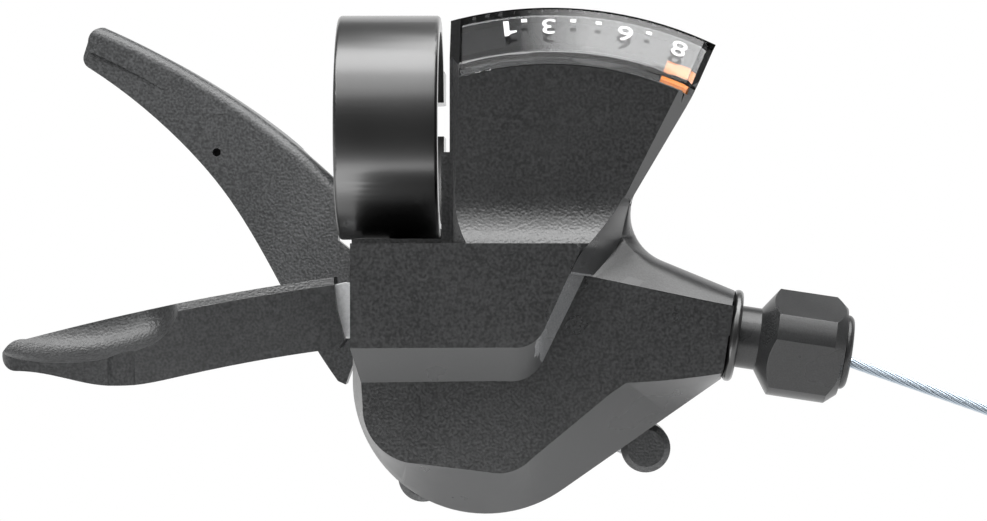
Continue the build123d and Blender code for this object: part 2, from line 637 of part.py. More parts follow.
# Cable drum: grooved rim, rear sleeve, cam groove for the pointer and pocket for the cable head
SLEEVE_R = 4.0
GROOVE_R = DRUM_R - CABLE_D / 2 - 0.08
D_SLEEVE = D_PLATE + PLATE_T + 0.3
D_DRUM_BACK = D_RATCHET + RATCHET_T
HEAD_DEG = 90 - CABLE_TILT + 25
HEAD_R = 2.0
HEAD_L = 4.0
cam = []
for k in range(9):
    turn = DRUM_DEG * k / 8
    at = polar(B, FOLLOW_R, FOLLOW_DEG + GAUGE_DEG * k / 8)
    r = hypot(at[0] - AX, at[1] - AZ)
    cam.append(polar(A, r, degrees(atan2(at[1] - AZ, at[0] - AX)) - turn))
head_in = polar(A, DRUM_R, HEAD_DEG)
HEAD_UX = sin(radians(HEAD_DEG))
HEAD_UZ = -cos(radians(HEAD_DEG))
HEAD_PLANE = Plane(origin=(head_in[0], -CABLE_DEPTH, head_in[1]), x_dir=(0, -1, 0),
                   z_dir=(-HEAD_UX, 0, -HEAD_UZ))
with BuildPart() as cable_drum:
    with BuildSketch(radial(A)):
        with BuildLine():
            Polyline((AXLE_R + FIT, D_SLEEVE), (SLEEVE_R, D_SLEEVE), (SLEEVE_R, D_DRUM_BACK),
                     (DRUM_RIM - 0.3, D_DRUM_BACK), (DRUM_RIM - 0.3, CABLE_DEPTH - 1.1),
                     (GROOVE_R, CABLE_DEPTH - CABLE_D / 2), (GROOVE_R, CABLE_DEPTH + CABLE_D / 2),
                     (DRUM_RIM, CABLE_DEPTH + 1.1), (DRUM_RIM, D_DRUM), (AXLE_R + FIT, D_DRUM), close=True)
        make_face()
    revolve(axis=spindle(A))
    with BuildSketch(front(D_DRUM)):
        with BuildLine():
            Spline(cam)
        trace(line_width=2 * PIN_R + 0.3)
        with Locations(cam[0], cam[-1]):
            Circle(PIN_R + 0.35)
    extrude(amount=-CAM_DEPTH, mode=Mode.SUBTRACT)
    with BuildSketch(HEAD_PLANE):
        Circle(HEAD_R + FIT)
    extrude(amount=HEAD_L + 0.3, mode=Mode.SUBTRACT)
cable_drum.part.label = "cable_drum"
export_step(cable_drum.part, "parts/cable_drum.step")

# Cable head seated in the drum
with BuildPart() as cable_head:
    with BuildSketch(HEAD_PLANE):
        Circle(HEAD_R)
    extrude(amount=HEAD_L)
    chamfer(cable_head.edges().filter_by(GeomType.CIRCLE), length=0.3)
cable_head.part.label = "cable_head"
export_step(cable_head.part, "parts/cable_head.step")

# Ratchet wheel: sawteeth in two sectors, one for each pawl
TOOTH_R = DRUM_R - 0.2
ROOT_R = TOOTH_R - 1.2
HOLD_DEG = 172.0
FEED_DEG = -75.0
THUMB_DEG = 42.0
FEED_R = TOOTH_R + 2.0
feed_tip_deg = FEED_DEG + 25
with BuildPart() as ratchet_wheel:
    with BuildSketch(front(D_RATCHET, A)):
        Circle(ROOT_R)
        for first in (HOLD_DEG - DRUM_DEG, feed_tip_deg - CLICK_DEG * 2):
            for k in range(CLICKS + 1):
                a0 = first + k * CLICK_DEG
                with BuildLine():
                    Polyline(polar((0, 0), ROOT_R - 0.4, a0), polar((0, 0), TOOTH_R, a0 + 0.5),
                             polar((0, 0), TOOTH_R, a0 + 3), polar((0, 0), ROOT_R - 0.4, a0 + CLICK_DEG),
                             close=True)
                make_face()
        Circle(SLEEVE_R + FIT / 2, mode=Mode.SUBTRACT)
    extrude(amount=RATCHET_T)
ratchet_wheel.part.label = "ratchet_wheel"
export_step(ratchet_wheel.part, "parts/ratchet_wheel.step")

# Drum return spring: flat spiral between ratchet and base plate
SPRING_T = 0.4
coil = [polar(A, SLEEVE_R + SPRING_T / 2 + 0.9 * k / 12, 30 * k) for k in range(37)]
with BuildPart() as drum_spring:
    with BuildSketch(front(D_SLEEVE + 0.2)):
        with BuildLine():
            Spline(coil)
        trace(line_width=SPRING_T)
    extrude(amount=D_RATCHET - D_SLEEVE - 0.5)
drum_spring.part.label = "drum_spring"
export_step(drum_spring.part, "parts/drum_spring.step")

# Base plate: stamped steel, carries axle, release stud and clamp foot
ear_a = polar(polar(A, BODY_R + 2.02, LOW_DEG - 90), 10.28, LOW_DEG)
ear_b = polar(A, BODY_R - 1.5, 237)
PLATE_R = BODY_R - 2.9
with BuildPart() as base_plate:
    with BuildSketch(front(D_PLATE)):
        with Locations(A):
            Circle(PLATE_R)
        with BuildLine():
            Polyline((LEFT_X + 2.4, SHELF_Z - 0.9), (LEFT_X + 2.4, AZ + 3), (AX, AZ + 3),
                     (AX, SHELF_Z - 0.9), close=True)
        make_face()
        with BuildLine():
            Polyline(A, ear_a)
        trace(line_width=3.6)
        with BuildLine():
            Polyline(A, ear_b)
        trace(line_width=3.6)
        with Locations(ear_a, ear_b):
            Circle(1.8)
            Circle(SCREW_R + FIT / 2, mode=Mode.SUBTRACT)
        with Locations(A):
            Circle(AXLE_R, mode=Mode.SUBTRACT)
        with Locations(S):
            Circle(STUD_R, mode=Mode.SUBTRACT)
        with BuildLine():
            CenterArc(A, FEED_R, FEED_DEG - 8, THUMB_DEG + 16)
        trace(line_width=3.0, mode=Mode.SUBTRACT)
    extrude(amount=PLATE_T)
    with BuildSketch(radial((FOOT_SCREW_X, FOOT_SCREW_Z))):
        with BuildLine():
            Polyline((0, D_PLATE), (FOOT_SCREW_R + FIT, D_PLATE),
                     (FOOT_SCREW_R + FIT, D_FRONT_PLATE - 1.3), (FOOT_SCREW_R + FOOT_HEAD, D_FRONT_PLATE),
                     (0, D_FRONT_PLATE), close=True)
        make_face()
    revolve(axis=spindle((FOOT_SCREW_X, FOOT_SCREW_Z)), mode=Mode.SUBTRACT)
base_plate.part.label = "base_plate"
export_step(base_plate.part, "parts/base_plate.step")

# Rear case: tub behind the cover with two round bosses, open at the left for the levers
INSET = 0.5
CASE_R = BODY_R - INSET
CASE_X = LEFT_X + INSET
CASE_Z = TOP_Z - INSET
CASE_T = 1.5
EAR_R = 2.85
EAR_BEVEL = 0.7
SCREW_HEAD = 1.8
EAR_D_FRONT = 3.0
EAR_D_BACK = -4.4
case_low = polar(A, CASE_R, LOW_DEG - 90)
case_nose = along(-1.2, -NOSE_H + INSET)
ear_root = polar(ear_a, 5.0, LOW_DEG + 90)
SLOT_D0 = D_HUB_BACK - 0.5
SLOT_D1 = D_THUMB + THUMB_T + 0.6
with BuildPart() as rear_case:
    with BuildSketch(front(D_RIM)):
        with BuildLine():
            Line((CASE_X, CASE_Z), (CASE_X, AZ))
            CenterArc(A, CASE_R, 180, 90 + LOW_DEG)
            Polyline(case_low, polar(case_low, 7.0, LOW_DEG), (AX + CASE_R, AZ + 2), (AX + CASE_R, CASE_Z),
                     (CASE_X, CASE_Z))
        make_face()
    extrude(amount=D_BACK - D_RIM)
    chamfer(rear_case.faces().sort_by(Axis.Y)[-1].edges(), length=1.4)
    with BuildSketch(front(D_RIM)):
        with BuildLine():
            Line((CASE_X, CASE_Z), (CASE_X, AZ))
            CenterArc(A, CASE_R, 180, 90 + LOW_DEG)
            Polyline(case_low, case_nose, along(-1.2, NOSE_H - INSET),
                     (cove_side[0] - 0.4, cove_side[1] - INSET), (cove_side[0] - 4.6, CASE_Z),
                     (CASE_X, CASE_Z))
        make_face()
    extrude(amount=-D_RIM)
    # Hollow of the tub and of the nose part
    with BuildSketch(front(D_RIM)):
        with Locations(A):
            Circle(CASE_R - CASE_T)
        with BuildLine():
            Polyline((CASE_X + CASE_T, CASE_Z - CASE_T), (CASE_X + CASE_T, AZ), (AX + 13, AZ),
                     (AX + 13, CASE_Z - CASE_T), close=True)
        make_face()
    extrude(amount=D_BACK + WALL - D_RIM, mode=Mode.SUBTRACT)
    # Bosses
    for ear in (ear_a, ear_b):
        with BuildSketch(radial(ear)):
            with BuildLine():
                Polyline((0, EAR_D_BACK), (EAR_R, EAR_D_BACK), (EAR_R, EAR_D_FRONT - EAR_BEVEL),
                         (EAR_R - EAR_BEVEL, EAR_D_FRONT), (0, EAR_D_FRONT), close=True)
            make_face()
        revolve(axis=spindle(ear))
    with BuildSketch(front(EAR_D_BACK)):
        with BuildLine():
            Polyline(ear_a, ear_root)
        trace(line_width=4.6)
    extrude(amount=EAR_D_FRONT - EAR_D_BACK - 1.2)
    with Locations(front(EAR_D_BACK, ear_a), front(EAR_D_BACK, ear_b)):
        Cylinder(SCREW_R + FIT / 2, 2 * (EAR_D_FRONT - EAR_D_BACK - 0.7), mode=Mode.SUBTRACT)
    with BuildSketch(front(EAR_D_BACK)):
        with Locations(ear_a, ear_b):
            Circle(SCREW_HEAD + 0.1)
    extrude(amount=D_BACK - EAR_D_BACK, mode=Mode.SUBTRACT)
    # Slots for the tabs of the base plate
    with BuildSketch(front(D_PLATE)):
        with BuildLine():
            Polyline(A, ear_a)
        trace(line_width=3.7)
        with BuildLine():
            Polyline(A, ear_b)
        trace(line_width=3.7)
        with Locations(ear_a, ear_b):
            Circle(1.85)
        with Locations(A):
            Circle(PLATE_R + 0.1)
    extrude(amount=PLATE_T, mode=Mode.SUBTRACT)
    # Openings for the thumb lever, the release plate and the clamp foot
    with BuildSketch(front(SLOT_D0)):
        with BuildLine():
            Polyline(A, polar(A, 40, 112), polar(A, 40, 145), polar(A, 40, 190), polar(A, 40, 236),
                     close=True)
        make_face()
    extrude(amount=SLOT_D1 - SLOT_D0, mode=Mode.SUBTRACT)
    with BuildSketch(front(D_RELEASE - 0.3)):
        with Locations((LEFT_X - 2, SZ + 5.6)):
            Rectangle(8, 12, align=(Align.MIN, Align.MAX))
    extrude(amount=D_RIM - D_RELEASE + 0.3, mode=Mode.SUBTRACT)
    with BuildSketch(front(D_PLATE - FOOT_D - 0.2)):
        with Locations((FOOT_X0, TOP_Z)):
            Rectangle(FOOT_W + 0.4, 6)
    extrude(amount=FOOT_D + 0.2 + PLATE_T, mode=Mode.SUBTRACT)
    # Screw holes for the cover
    with BuildSketch(front(0)):
        with Locations(boss_a, boss_b):
            Circle(SCREW_R + FIT)
    extrude(amount=D_RIM, mode=Mode.SUBTRACT)
    with BuildSketch(front(0)):
        with Locations(boss_a, boss_b):
            Circle(SCREW_HEAD + 0.1)
    extrude(amount=D_BACK, mode=Mode.SUBTRACT)
rear_case.part.label = "rear_case"
export_step(rear_case.part, "parts/rear_case.step")

# Screws of the bosses, from behind through the plate tabs
with BuildPart() as boss_screws:
    with BuildSketch(front(EAR_D_BACK)):
        with Locations(ear_a, ear_b):
            Circle(SCREW_R)
    extrude(amount=EAR_D_FRONT - EAR_D_BACK - 1.0)
    with BuildSketch(front(EAR_D_BACK)):
        with Locations(ear_a, ear_b):
            Circle(SCREW_HEAD)
    extrude(amount=-1.5, taper=14)
    with BuildSketch(front(EAR_D_BACK - 1.5)):
        with Locations(ear_a, ear_b):
            Rectangle(2.2, 0.6)
            Rectangle(0.6, 2.2)
    extrude(amount=0.9, mode=Mode.SUBTRACT)
boss_screws.part.label = "boss_screws"
export_step(boss_screws.part, "parts/boss_screws.step")

# Screws that hold the rear case to the cover
with BuildPart() as cover_screws:
    with BuildSketch(front(0)):
        with Locations(boss_a, boss_b):
            Circle(SCREW_R)
    extrude(amount=D_RIM + 4.0)
    with BuildSketch(front(0)):
        with Locations(boss_a, boss_b):
            Circle(SCREW_HEAD)
    extrude(amount=-1.5, taper=14)
    with BuildSketch(front(-1.5)):
        with Locations(boss_a, boss_b):
            Rectangle(2.2, 0.6)
            Rectangle(0.6, 2.2)
    extrude(amount=0.9, mode=Mode.SUBTRACT)
cover_screws.part.label = "cover_screws"
export_step(cover_screws.part, "parts/cover_screws.step")

# Plug of the cable port in the left wall
with BuildPart() as port_plug:
    with BuildSketch(Plane(origin=(LEFT_X + 0.3, -CABLE_DEPTH, PORT_Z), z_dir=(1, 0, 0))):
        Circle(PORT_R - FIT)
    extrude(amount=WALL)
    with BuildSketch(Plane(origin=(LEFT_X + 0.3, -CABLE_DEPTH, PORT_Z), z_dir=(1, 0, 0))):
        Rectangle(3.2, 0.7)
        Rectangle(0.7, 3.2)
    extrude(amount=0.8, mode=Mode.SUBTRACT)
port_plug.part.label = "port_plug"
export_step(port_plug.part, "parts/port_plug.step")

# Release stud, riveted in the base plate
D_PAWL = D_RATCHET + 0.1
PAWL_T = RATCHET_T - 0.2
with BuildPart() as release_stud:
    with BuildSketch(front(D_PLATE, S)):
        Circle(STUD_R)
    extrude(amount=D_PAWL + PAWL_T + 0.4 - D_PLATE)
    with BuildSketch(front(D_PAWL + PAWL_T + 0.05, S)):
        Circle(STUD_R + 0.5)
    extrude(amount=0.35)
release_stud.part.label = "release_stud"
export_step(release_stud.part, "parts/release_stud.step")

# Torsion spring on the stud between release plate and pawl
with BuildPart() as release_spring:
    with BuildLine() as stud_wire:
        Helix(pitch=0.32, height=0.6, radius=STUD_R + 0.45,
              center=(SX, -(D_RELEASE + RELEASE_T + 0.25), SZ),
              direction=(0, -1, 0))
    with BuildSketch(Plane(origin=stud_wire.line @ 0, z_dir=stud_wire.line % 0)):
        Circle(0.14)
    sweep(path=stud_wire.line, is_frenet=True)
release_spring.part.label = "release_spring"
export_step(release_spring.part, "parts/release_spring.step")

# Hold pawl on the same stud, its nose just clear of the teeth
PAWL_GAP = 0.25
nose_r = TOOTH_R + PAWL_GAP
with BuildPart() as hold_pawl:
    with BuildSketch(front(D_PAWL)):
        with Locations(S):
            Circle(STUD_R + 0.8)
        with BuildLine():
            Polyline(polar(S, STUD_R + 0.7, -20), polar(A, nose_r + 0.6, HOLD_DEG - 13),
                     polar(A, nose_r + 0.05, HOLD_DEG - 4), polar(A, nose_r, HOLD_DEG),
                     polar(A, nose_r + 1.2, HOLD_DEG + 1), polar(A, nose_r + 2.4, HOLD_DEG - 8),
                     polar(S, STUD_R + 0.7, 190), close=True)
        make_face()
        with Locations(S):
            Circle(STUD_R + FIT, mode=Mode.SUBTRACT)
    extrude(amount=PAWL_T)
hold_pawl.part.label = "hold_pawl"
export_step(hold_pawl.part, "parts/hold_pawl.step")

# Feed pawl on a long pin of the thumb lever plate
FEED = polar(A, FEED_R, FEED_DEG)
FEED_PIN_R = 1.0
with BuildPart() as feed_pin:
    with BuildSketch(front(D_THUMB, FEED)):
        Circle(FEED_PIN_R)
    extrude(amount=D_PAWL + PAWL_T + 0.3 - D_THUMB)
    with BuildSketch(front(D_PAWL - 0.5, FEED)):
        Circle(FEED_PIN_R + 0.45)
    extrude(amount=0.45)
feed_pin.part.label = "feed_pin"
export_step(feed_pin.part, "parts/feed_pin.step")
with BuildPart() as feed_pawl:
    with BuildSketch(front(D_PAWL)):
        with Locations(FEED):
            Circle(FEED_PIN_R + 0.65)
        with BuildLine():
            Polyline(polar(A, nose_r + 0.1, FEED_DEG + 3), polar(A, nose_r + 0.05, FEED_DEG + 14),
                     polar(A, nose_r, feed_tip_deg), polar(A, nose_r + 0.8, feed_tip_deg - 1),
                     polar(A, FEED_R + 1.1, FEED_DEG + 8), polar(A, FEED_R + 1.5, FEED_DEG), close=True)
        make_face()
        with Locations(FEED):
            Circle(FEED_PIN_R + FIT / 2, mode=Mode.SUBTRACT)
    extrude(amount=PAWL_T)
feed_pawl.part.label = "feed_pawl"
export_step(feed_pawl.part, "parts/feed_pawl.step")

# Thumb lever plate: hub disc with a lug for the feed pin and a tongue in the lever
LEVER_DEG = 140.0
HUB_R = TOOTH_R - 0.5
with BuildPart() as thumb_plate:
    with BuildSketch(front(D_THUMB)):
        with Locations(A):
            Circle(HUB_R)
        with BuildLine():
            Polyline(A, FEED)
        trace(line_width=4.4)
        with Locations(FEED):
            Circle(FEED_PIN_R + 0.7)
        with BuildLine():
            Polyline(A, polar(A, BODY_R, LEVER_DEG))
        trace(line_width=9.0)
        with Locations(A):
            Circle(AXLE_R + FIT, mode=Mode.SUBTRACT)
        with Locations(FEED):
            Circle(FEED_PIN_R, mode=Mode.SUBTRACT)
    extrude(amount=THUMB_T)
thumb_plate.part.label = "thumb_plate"
export_step(thumb_plate.part, "parts/thumb_plate.step")

# Thumb lever return spring round the axle
THUMB_WIRE = 0.55
D_SPRING0 = D_THUMB + THUMB_T + THUMB_WIRE + 0.1
D_SPRING1 = D_PLATE - THUMB_WIRE - 0.1
with BuildPart() as thumb_spring:
    with BuildLine() as thumb_wire:
        Helix(pitch=(D_SPRING1 - D_SPRING0) / 2.5, height=D_SPRING1 - D_SPRING0, radius=AXLE_R + 1.8,
              center=(AX, -D_SPRING0, AZ), direction=(0, -1, 0))
    with BuildSketch(Plane(origin=thumb_wire.line @ 0, z_dir=thumb_wire.line % 0)):
        Circle(THUMB_WIRE)
    sweep(path=thumb_wire.line, is_frenet=True)
thumb_spring.part.label = "thumb_spring"
export_step(thumb_spring.part, "parts/thumb_spring.step")

# Thumb lever: hub behind its plate, cranked arm and thumb pad with a rolled edge
edge_out = (-35.2, 12.7)
edge_mid = (-18.6, 3.5)
edge_in = (-6.6, -6.2)
step_out = (edge_out[0] - 2.3, edge_out[1] - 2.7)
step_mid = (edge_mid[0] - 5.7, edge_mid[1] - 0.8)
step_in = (edge_in[0] - 5.2, edge_in[1] - 2.6)
tip_low = (edge_out[0] - 1.7, edge_out[1] - 4.95)
tip_a = (edge_out[0] - 2.4, edge_out[1] - 3.4)
tip_b = (edge_out[0] - 1.9, edge_out[1] - 1.8)
RIDGE = 0.55
ROOT_X = LEFT_X - 0.8
D_LEVER = D_THUMB + THUMB_T + 0.2
CRANK_R0 = BODY_R + 1.4
CRANK_R1 = 33.5
D_ARM = -13.2
D_ARM_TIP = -14.5
ARM_T = 3.4
LEVER_END = 66.0
PAD_END = LEVER_END - 4.4
with BuildPart() as thumb_pad:
    with BuildSketch(front(D_ARM - 20)):
        with BuildLine():
            ThreePointArc(edge_out, edge_mid, edge_in)
            Line(edge_in, step_in)
            ThreePointArc(step_in, step_mid, step_out)
            Line(step_out, edge_out)
        make_face()
    extrude(amount=32)
    with BuildSketch(radial(A, LEVER_DEG)):
        with BuildLine():
            Polyline((35.0, -20.0), (CRANK_R1, D_ARM - 2.5), (CRANK_R1, D_ARM - 0.6),
                     (PAD_END, D_ARM_TIP + RIDGE), (PAD_END, -21.5))
            ThreePointArc((PAD_END, -21.5), (PAD_END - 3.0, -27.2), (PAD_END - 8.6, -29.0))
            Line((PAD_END - 8.6, -29.0), (42.5, -28.4))
            ThreePointArc((42.5, -28.4), (37.2, -26.0), (35.0, -20.0))
        make_face()
    extrude(amount=40, both=True, mode=Mode.INTERSECT)
    fillet(thumb_pad.edges().sort_by_distance((edge_mid[0] - 6, -D_ARM_TIP + 0.3, edge_mid[1] + 3.6))[0],
           radius=1.5)
with BuildPart() as thumb_lever:
    with BuildSketch(front(D_ARM - 20)):
        with BuildLine():
            ThreePointArc(edge_out, edge_mid, edge_in)
            Polyline(edge_in, (edge_in[0], -13.0), (ROOT_X, -14.5), (ROOT_X, -27.5), (ROOT_X - 0.9, -30.0),
                     (ROOT_X - 1.8, -29.6))
            Spline((ROOT_X - 1.8, -29.6), (-14.1, -17.3), (-20.5, -7.2), (-27.0, 0.0), tip_low)
            ThreePointArc(tip_low, (tip_a[0] + 0.05, tip_low[1] + 0.7), tip_a)
            Line(tip_a, tip_b)
            ThreePointArc(tip_b, (tip_b[0] + 0.65, tip_b[1] + 1.4), edge_out)
        make_face()
    extrude(amount=32)
    with BuildSketch(radial(A, LEVER_DEG)) as crank:
        with BuildLine():
            Polyline((8.0, D_LEVER), (CRANK_R0, D_LEVER), (CRANK_R1, D_ARM), (LEVER_END, D_ARM_TIP),
                     (LEVER_END, D_ARM_TIP - ARM_T), (CRANK_R1 - 0.4, D_ARM - ARM_T),
                     (CRANK_R0 + 2.0, D_HUB_BACK), (8.0, D_HUB_BACK), close=True)
        make_face()
        fillet(crank.vertices().filter_by(lambda v: CRANK_R0 - 1 < v.X < CRANK_R0 + 3), radius=24.0)
        fillet(crank.vertices().filter_by(lambda v: CRANK_R1 - 1 < v.X < CRANK_R1 + 1), radius=48.0)
    extrude(amount=40, both=True, mode=Mode.INTERSECT)
    fillet(thumb_lever.edges().sort_by_distance((edge_mid[0] - 6, -D_ARM_TIP, edge_mid[1] + 3.6))[0],
           radius=1.5)
    add(thumb_pad.part)
    with BuildSketch(front(D_HUB_BACK)):
        with Locations(A):
            Circle(HUB_R)
        with BuildLine():
            Polyline(polar(A, HUB_R, LEVER_DEG - 70), (ROOT_X - 0.4, -15.4), (ROOT_X - 0.4, -27.0),
                     polar(A, HUB_R, LEVER_DEG + 70), close=True)
        make_face()
        with Locations(A):
            Circle(AXLE_R + FIT, mode=Mode.SUBTRACT)
    extrude(amount=D_THUMB - D_HUB_BACK)
    with BuildSketch(front(D_THUMB)):
        with BuildLine():
            Polyline(A, polar(A, BODY_R + FIT, LEVER_DEG))
        trace(line_width=9.0 + 2 * FIT)
    extrude(amount=THUMB_T, mode=Mode.SUBTRACT)
    with BuildSketch(front(D_ARM + 2, (-21.5, -2.4))):
        Circle(0.5)
    extrude(amount=-4.2, mode=Mode.SUBTRACT)
thumb_lever.part.label = "thumb_lever"
export_step(thumb_lever.part, "parts/thumb_lever.step")

# Release lever: steel plate on the stud, plastic finger lever moulded over its tongue
TONGUE_X = -19.5
with BuildPart() as release_plate:
    with BuildSketch(front(D_RELEASE)):
        with Locations(S):
            Circle(STUD_R + 1.3)
        with BuildLine():
            Polyline((SX, SZ + STUD_R + 1.2), (LEFT_X - 1.2, SZ + 3.6), (TONGUE_X, SZ + 0.7),
                     (TONGUE_X, SZ - 3.1), (LEFT_X - 1.2, SZ - 2.9), (SX, SZ - STUD_R - 1.2), close=True)
        make_face()
        with Locations(S):
            Circle(STUD_R + FIT, mode=Mode.SUBTRACT)
    extrude(amount=RELEASE_T)
release_plate.part.label = "release_plate"
export_step(release_plate.part, "parts/release_plate.step")

SCOOP_R = 5.7
SCOOP_D = 8.4
with BuildPart() as release_lever:
    with BuildSketch(front(-6)):
        with BuildLine():
            ThreePointArc((-6.3, -17.3), (-21.5, -19.8), (-42.0, -24.5))
            ThreePointArc((-42.0, -24.5), (-44.1, -26.3), (-42.3, -28.0))
            Spline((-42.3, -28.0), (-37.7, -28.6), (-33.1, -29.6), (-28.5, -29.6), (-23.9, -28.7),
                   (-10.2, -26.1), (-5.6, -25.5))
            Polyline((-5.6, -25.5), (-5.0, -24.5), (-5.9, -21.1), (-6.3, -17.3))
        make_face()
    extrude(amount=18)
    with BuildSketch(Plane.XY):
        with BuildLine():
            ThreePointArc((-4.0, -5.0), (-24.0, -6.3), (-40.0, -8.4))
            ThreePointArc((-40.0, -8.4), (-44.3, -6.2), (-43.0, -2.6))
            ThreePointArc((-43.0, -2.6), (-24.0, 1.9), (-4.0, 2.5))
            Line((-4.0, 2.5), (-4.0, -5.0))
        make_face()
    extrude(amount=60, both=True, mode=Mode.INTERSECT)
    with BuildSketch(front(D_RELEASE)):
        with BuildLine():
            Polyline((SX, SZ + STUD_R + 1.2), (LEFT_X - 1.2, SZ + 3.6 + FIT),
                     (TONGUE_X - FIT, SZ + 0.7 + FIT), (TONGUE_X - FIT, SZ - 3.1 - FIT),
                     (LEFT_X - 1.2, SZ - 2.9 - FIT), (SX, SZ - STUD_R - 1.2), close=True)
        make_face()
    extrude(amount=RELEASE_T, mode=Mode.SUBTRACT)
    # Finger scoop, crease below it and chamfer along the top of the arm
    with BuildLine(front(SCOOP_D)) as scoop_path:
        ThreePointArc((-29.2, -20.1), (-36.2, -21.4), (-46.0, -19.4))
    with BuildSketch(Plane(origin=scoop_path.line @ 0, z_dir=scoop_path.line % 0)):
        Circle(SCOOP_R)
    sweep(path=scoop_path.line, mode=Mode.SUBTRACT)
    with Locations(scoop_path.line @ 0):
        Sphere(SCOOP_R, mode=Mode.SUBTRACT)
    with BuildSketch(Plane.XY.offset(-24)):
        with Locations((-30.3, -8.1)):
            Circle(1.9)
    extrude(amount=-10, mode=Mode.SUBTRACT)
    chamfer(release_lever.edges().sort_by_distance((-15, -5.8, -18.7))[0], length=0.9)
release_lever.part.label = "release_lever"
export_step(release_lever.part, "parts/release_lever.step")

# Barrel adjuster on the cable line
KNOB_R = 6.05
KNOB_FLAT = 5.2
KNOB_S0 = 3.4
KNOB_S1 = 13.0
KNOB_LAND0 = 5.2
KNOB_LAND1 = 11.7
KNOB_TURN = 27.0
STEM_S0 = -6.5
CABLE_BORE = 1.0
CASING_R = 2.6
SEAT_S = 8.6
CAP_R = 4.2
CAP_T = 0.9
with BuildPart() as adjuster_bush:
    with BuildSketch(LINE_PLANE):
        with BuildLine():
            Polyline((-BUSH_L, STEM_R + FIT), (-BUSH_L, BUSH_R), (0, BUSH_R), (0, COLLAR_R - 0.3),
                     (0.3, COLLAR_R), (COLLAR_T - 0.3, COLLAR_R), (COLLAR_T, COLLAR_R - 0.3),
                     (COLLAR_T, STEM_R + FIT), close=True)
        make_face()
    revolve(axis=LINE_AXIS)
adjuster_bush.part.label = "adjuster_bush"
export_step(adjuster_bush.part, "parts/adjuster_bush.step")
with BuildPart() as adjuster_knob:
    with BuildSketch(LINE_PLANE):
        with BuildLine():
            Polyline((STEM_S0, CABLE_BORE), (STEM_S0, STEM_R), (KNOB_S0, STEM_R), (KNOB_LAND0, KNOB_R),
                     (KNOB_LAND1, KNOB_R), (KNOB_S1, KNOB_R - 1.1), (KNOB_S1, CASING_R),
                     (SEAT_S, CASING_R), (SEAT_S, CABLE_BORE), close=True)
        make_face()
    revolve(axis=LINE_AXIS)
    with BuildSketch(Plane(origin=(QX, -CABLE_DEPTH, QZ), x_dir=(0, -1, 0),
                           z_dir=(UX, 0, UZ)).offset(KNOB_S0)):
        with PolarLocations(KNOB_FLAT + 2, 4, start_angle=KNOB_TURN):
            Rectangle(4, 14)
    extrude(amount=KNOB_S1 - KNOB_S0, mode=Mode.SUBTRACT)
adjuster_knob.part.label = "adjuster_knob"
export_step(adjuster_knob.part, "parts/adjuster_knob.step")
with BuildPart() as casing_ferrule:
    with BuildSketch(LINE_PLANE):
        with BuildLine():
            Polyline((KNOB_S1, CASING_R), (KNOB_S1, CAP_R), (KNOB_S1 + CAP_T - 0.4, CAP_R),
                     (KNOB_S1 + CAP_T, CAP_R - 0.4), (KNOB_S1 + CAP_T, CASING_R), close=True)
        make_face()
    revolve(axis=LINE_AXIS)
casing_ferrule.part.label = "casing_ferrule"
export_step(casing_ferrule.part, "parts/casing_ferrule.step")
with BuildPart() as detent_ring:
    with BuildSketch(LINE_PLANE):
        with BuildLine():
            Polyline((STEM_S0 - 1.2, CABLE_BORE), (STEM_S0 - 1.2, STEM_R - 0.3), (STEM_S0 - 0.9, STEM_R),
                     (STEM_S0, STEM_R), (STEM_S0, CABLE_BORE), close=True)
        make_face()
    revolve(axis=LINE_AXIS)
detent_ring.part.label = "detent_ring"
export_step(detent_ring.part, "parts/detent_ring.step")

# Inner cable: wrapped on the drum, through the adjuster, out to a tied coil
EXIT_S = KNOB_S1 + CAP_T + 0.3
BEND_S = 6.5
OUT_DEG = 19.2
EXIT_BEND_R = 24.0
RUN_OUT = 41.0
COIL_R = 12.25
BUNDLE_R = 3.15
BUNDLE_W = 3.75
bend_in = along(BEND_S)
bend_c = along(BEND_S, -EXIT_BEND_R)
bend_out = polar(bend_c, EXIT_BEND_R, 90 - OUT_DEG)
turn_off = radians(OUT_DEG - CABLE_TILT)
exit_run = (EXIT_S - BEND_S - EXIT_BEND_R * sin(turn_off)) / cos(turn_off)
exit_at = polar(bend_out, exit_run, -OUT_DEG)
coil_in = polar(exit_at, RUN_OUT, -OUT_DEG)
coil_c = polar(coil_in, COIL_R, -90 - OUT_DEG)
with BuildPart() as inner_cable:
    with BuildLine(front(CABLE_DEPTH)) as cable_path:
        CenterArc(A, DRUM_R, HEAD_DEG, 90 - CABLE_TILT - HEAD_DEG)
        Line((TX, TZ), bend_in)
        CenterArc(bend_c, EXIT_BEND_R, 90 - CABLE_TILT, CABLE_TILT - OUT_DEG)
        Line(bend_out, exit_at)
    with BuildSketch(Plane(origin=cable_path.line @ 0, z_dir=cable_path.line % 0)):
        Circle(CABLE_D / 2)
    sweep(path=cable_path.line)
inner_cable.part.label = "inner_cable"
export_step(inner_cable.part, "parts/inner_cable.step")
with BuildPart() as cable_run:
    with BuildSketch(Plane(origin=(exit_at[0], -CABLE_DEPTH, exit_at[1]),
                           z_dir=(cos(radians(OUT_DEG)), 0, -sin(radians(OUT_DEG))))):
        Circle(CABLE_D / 2)
    extrude(amount=RUN_OUT)
cable_run.part.label = "cable_run"
export_step(cable_run.part, "parts/cable_run.step")
with BuildPart() as cable_coil:
    with BuildSketch(radial(coil_c)):
        with Locations((COIL_R, CABLE_DEPTH)):
            Ellipse(BUNDLE_R, BUNDLE_W)
    revolve(axis=spindle(coil_c))
cable_coil.part.label = "cable_coil"
export_step(cable_coil.part, "parts/cable_coil.step")
TIE_DEG = -60.0
tie_at = polar(coil_c, COIL_R, TIE_DEG)
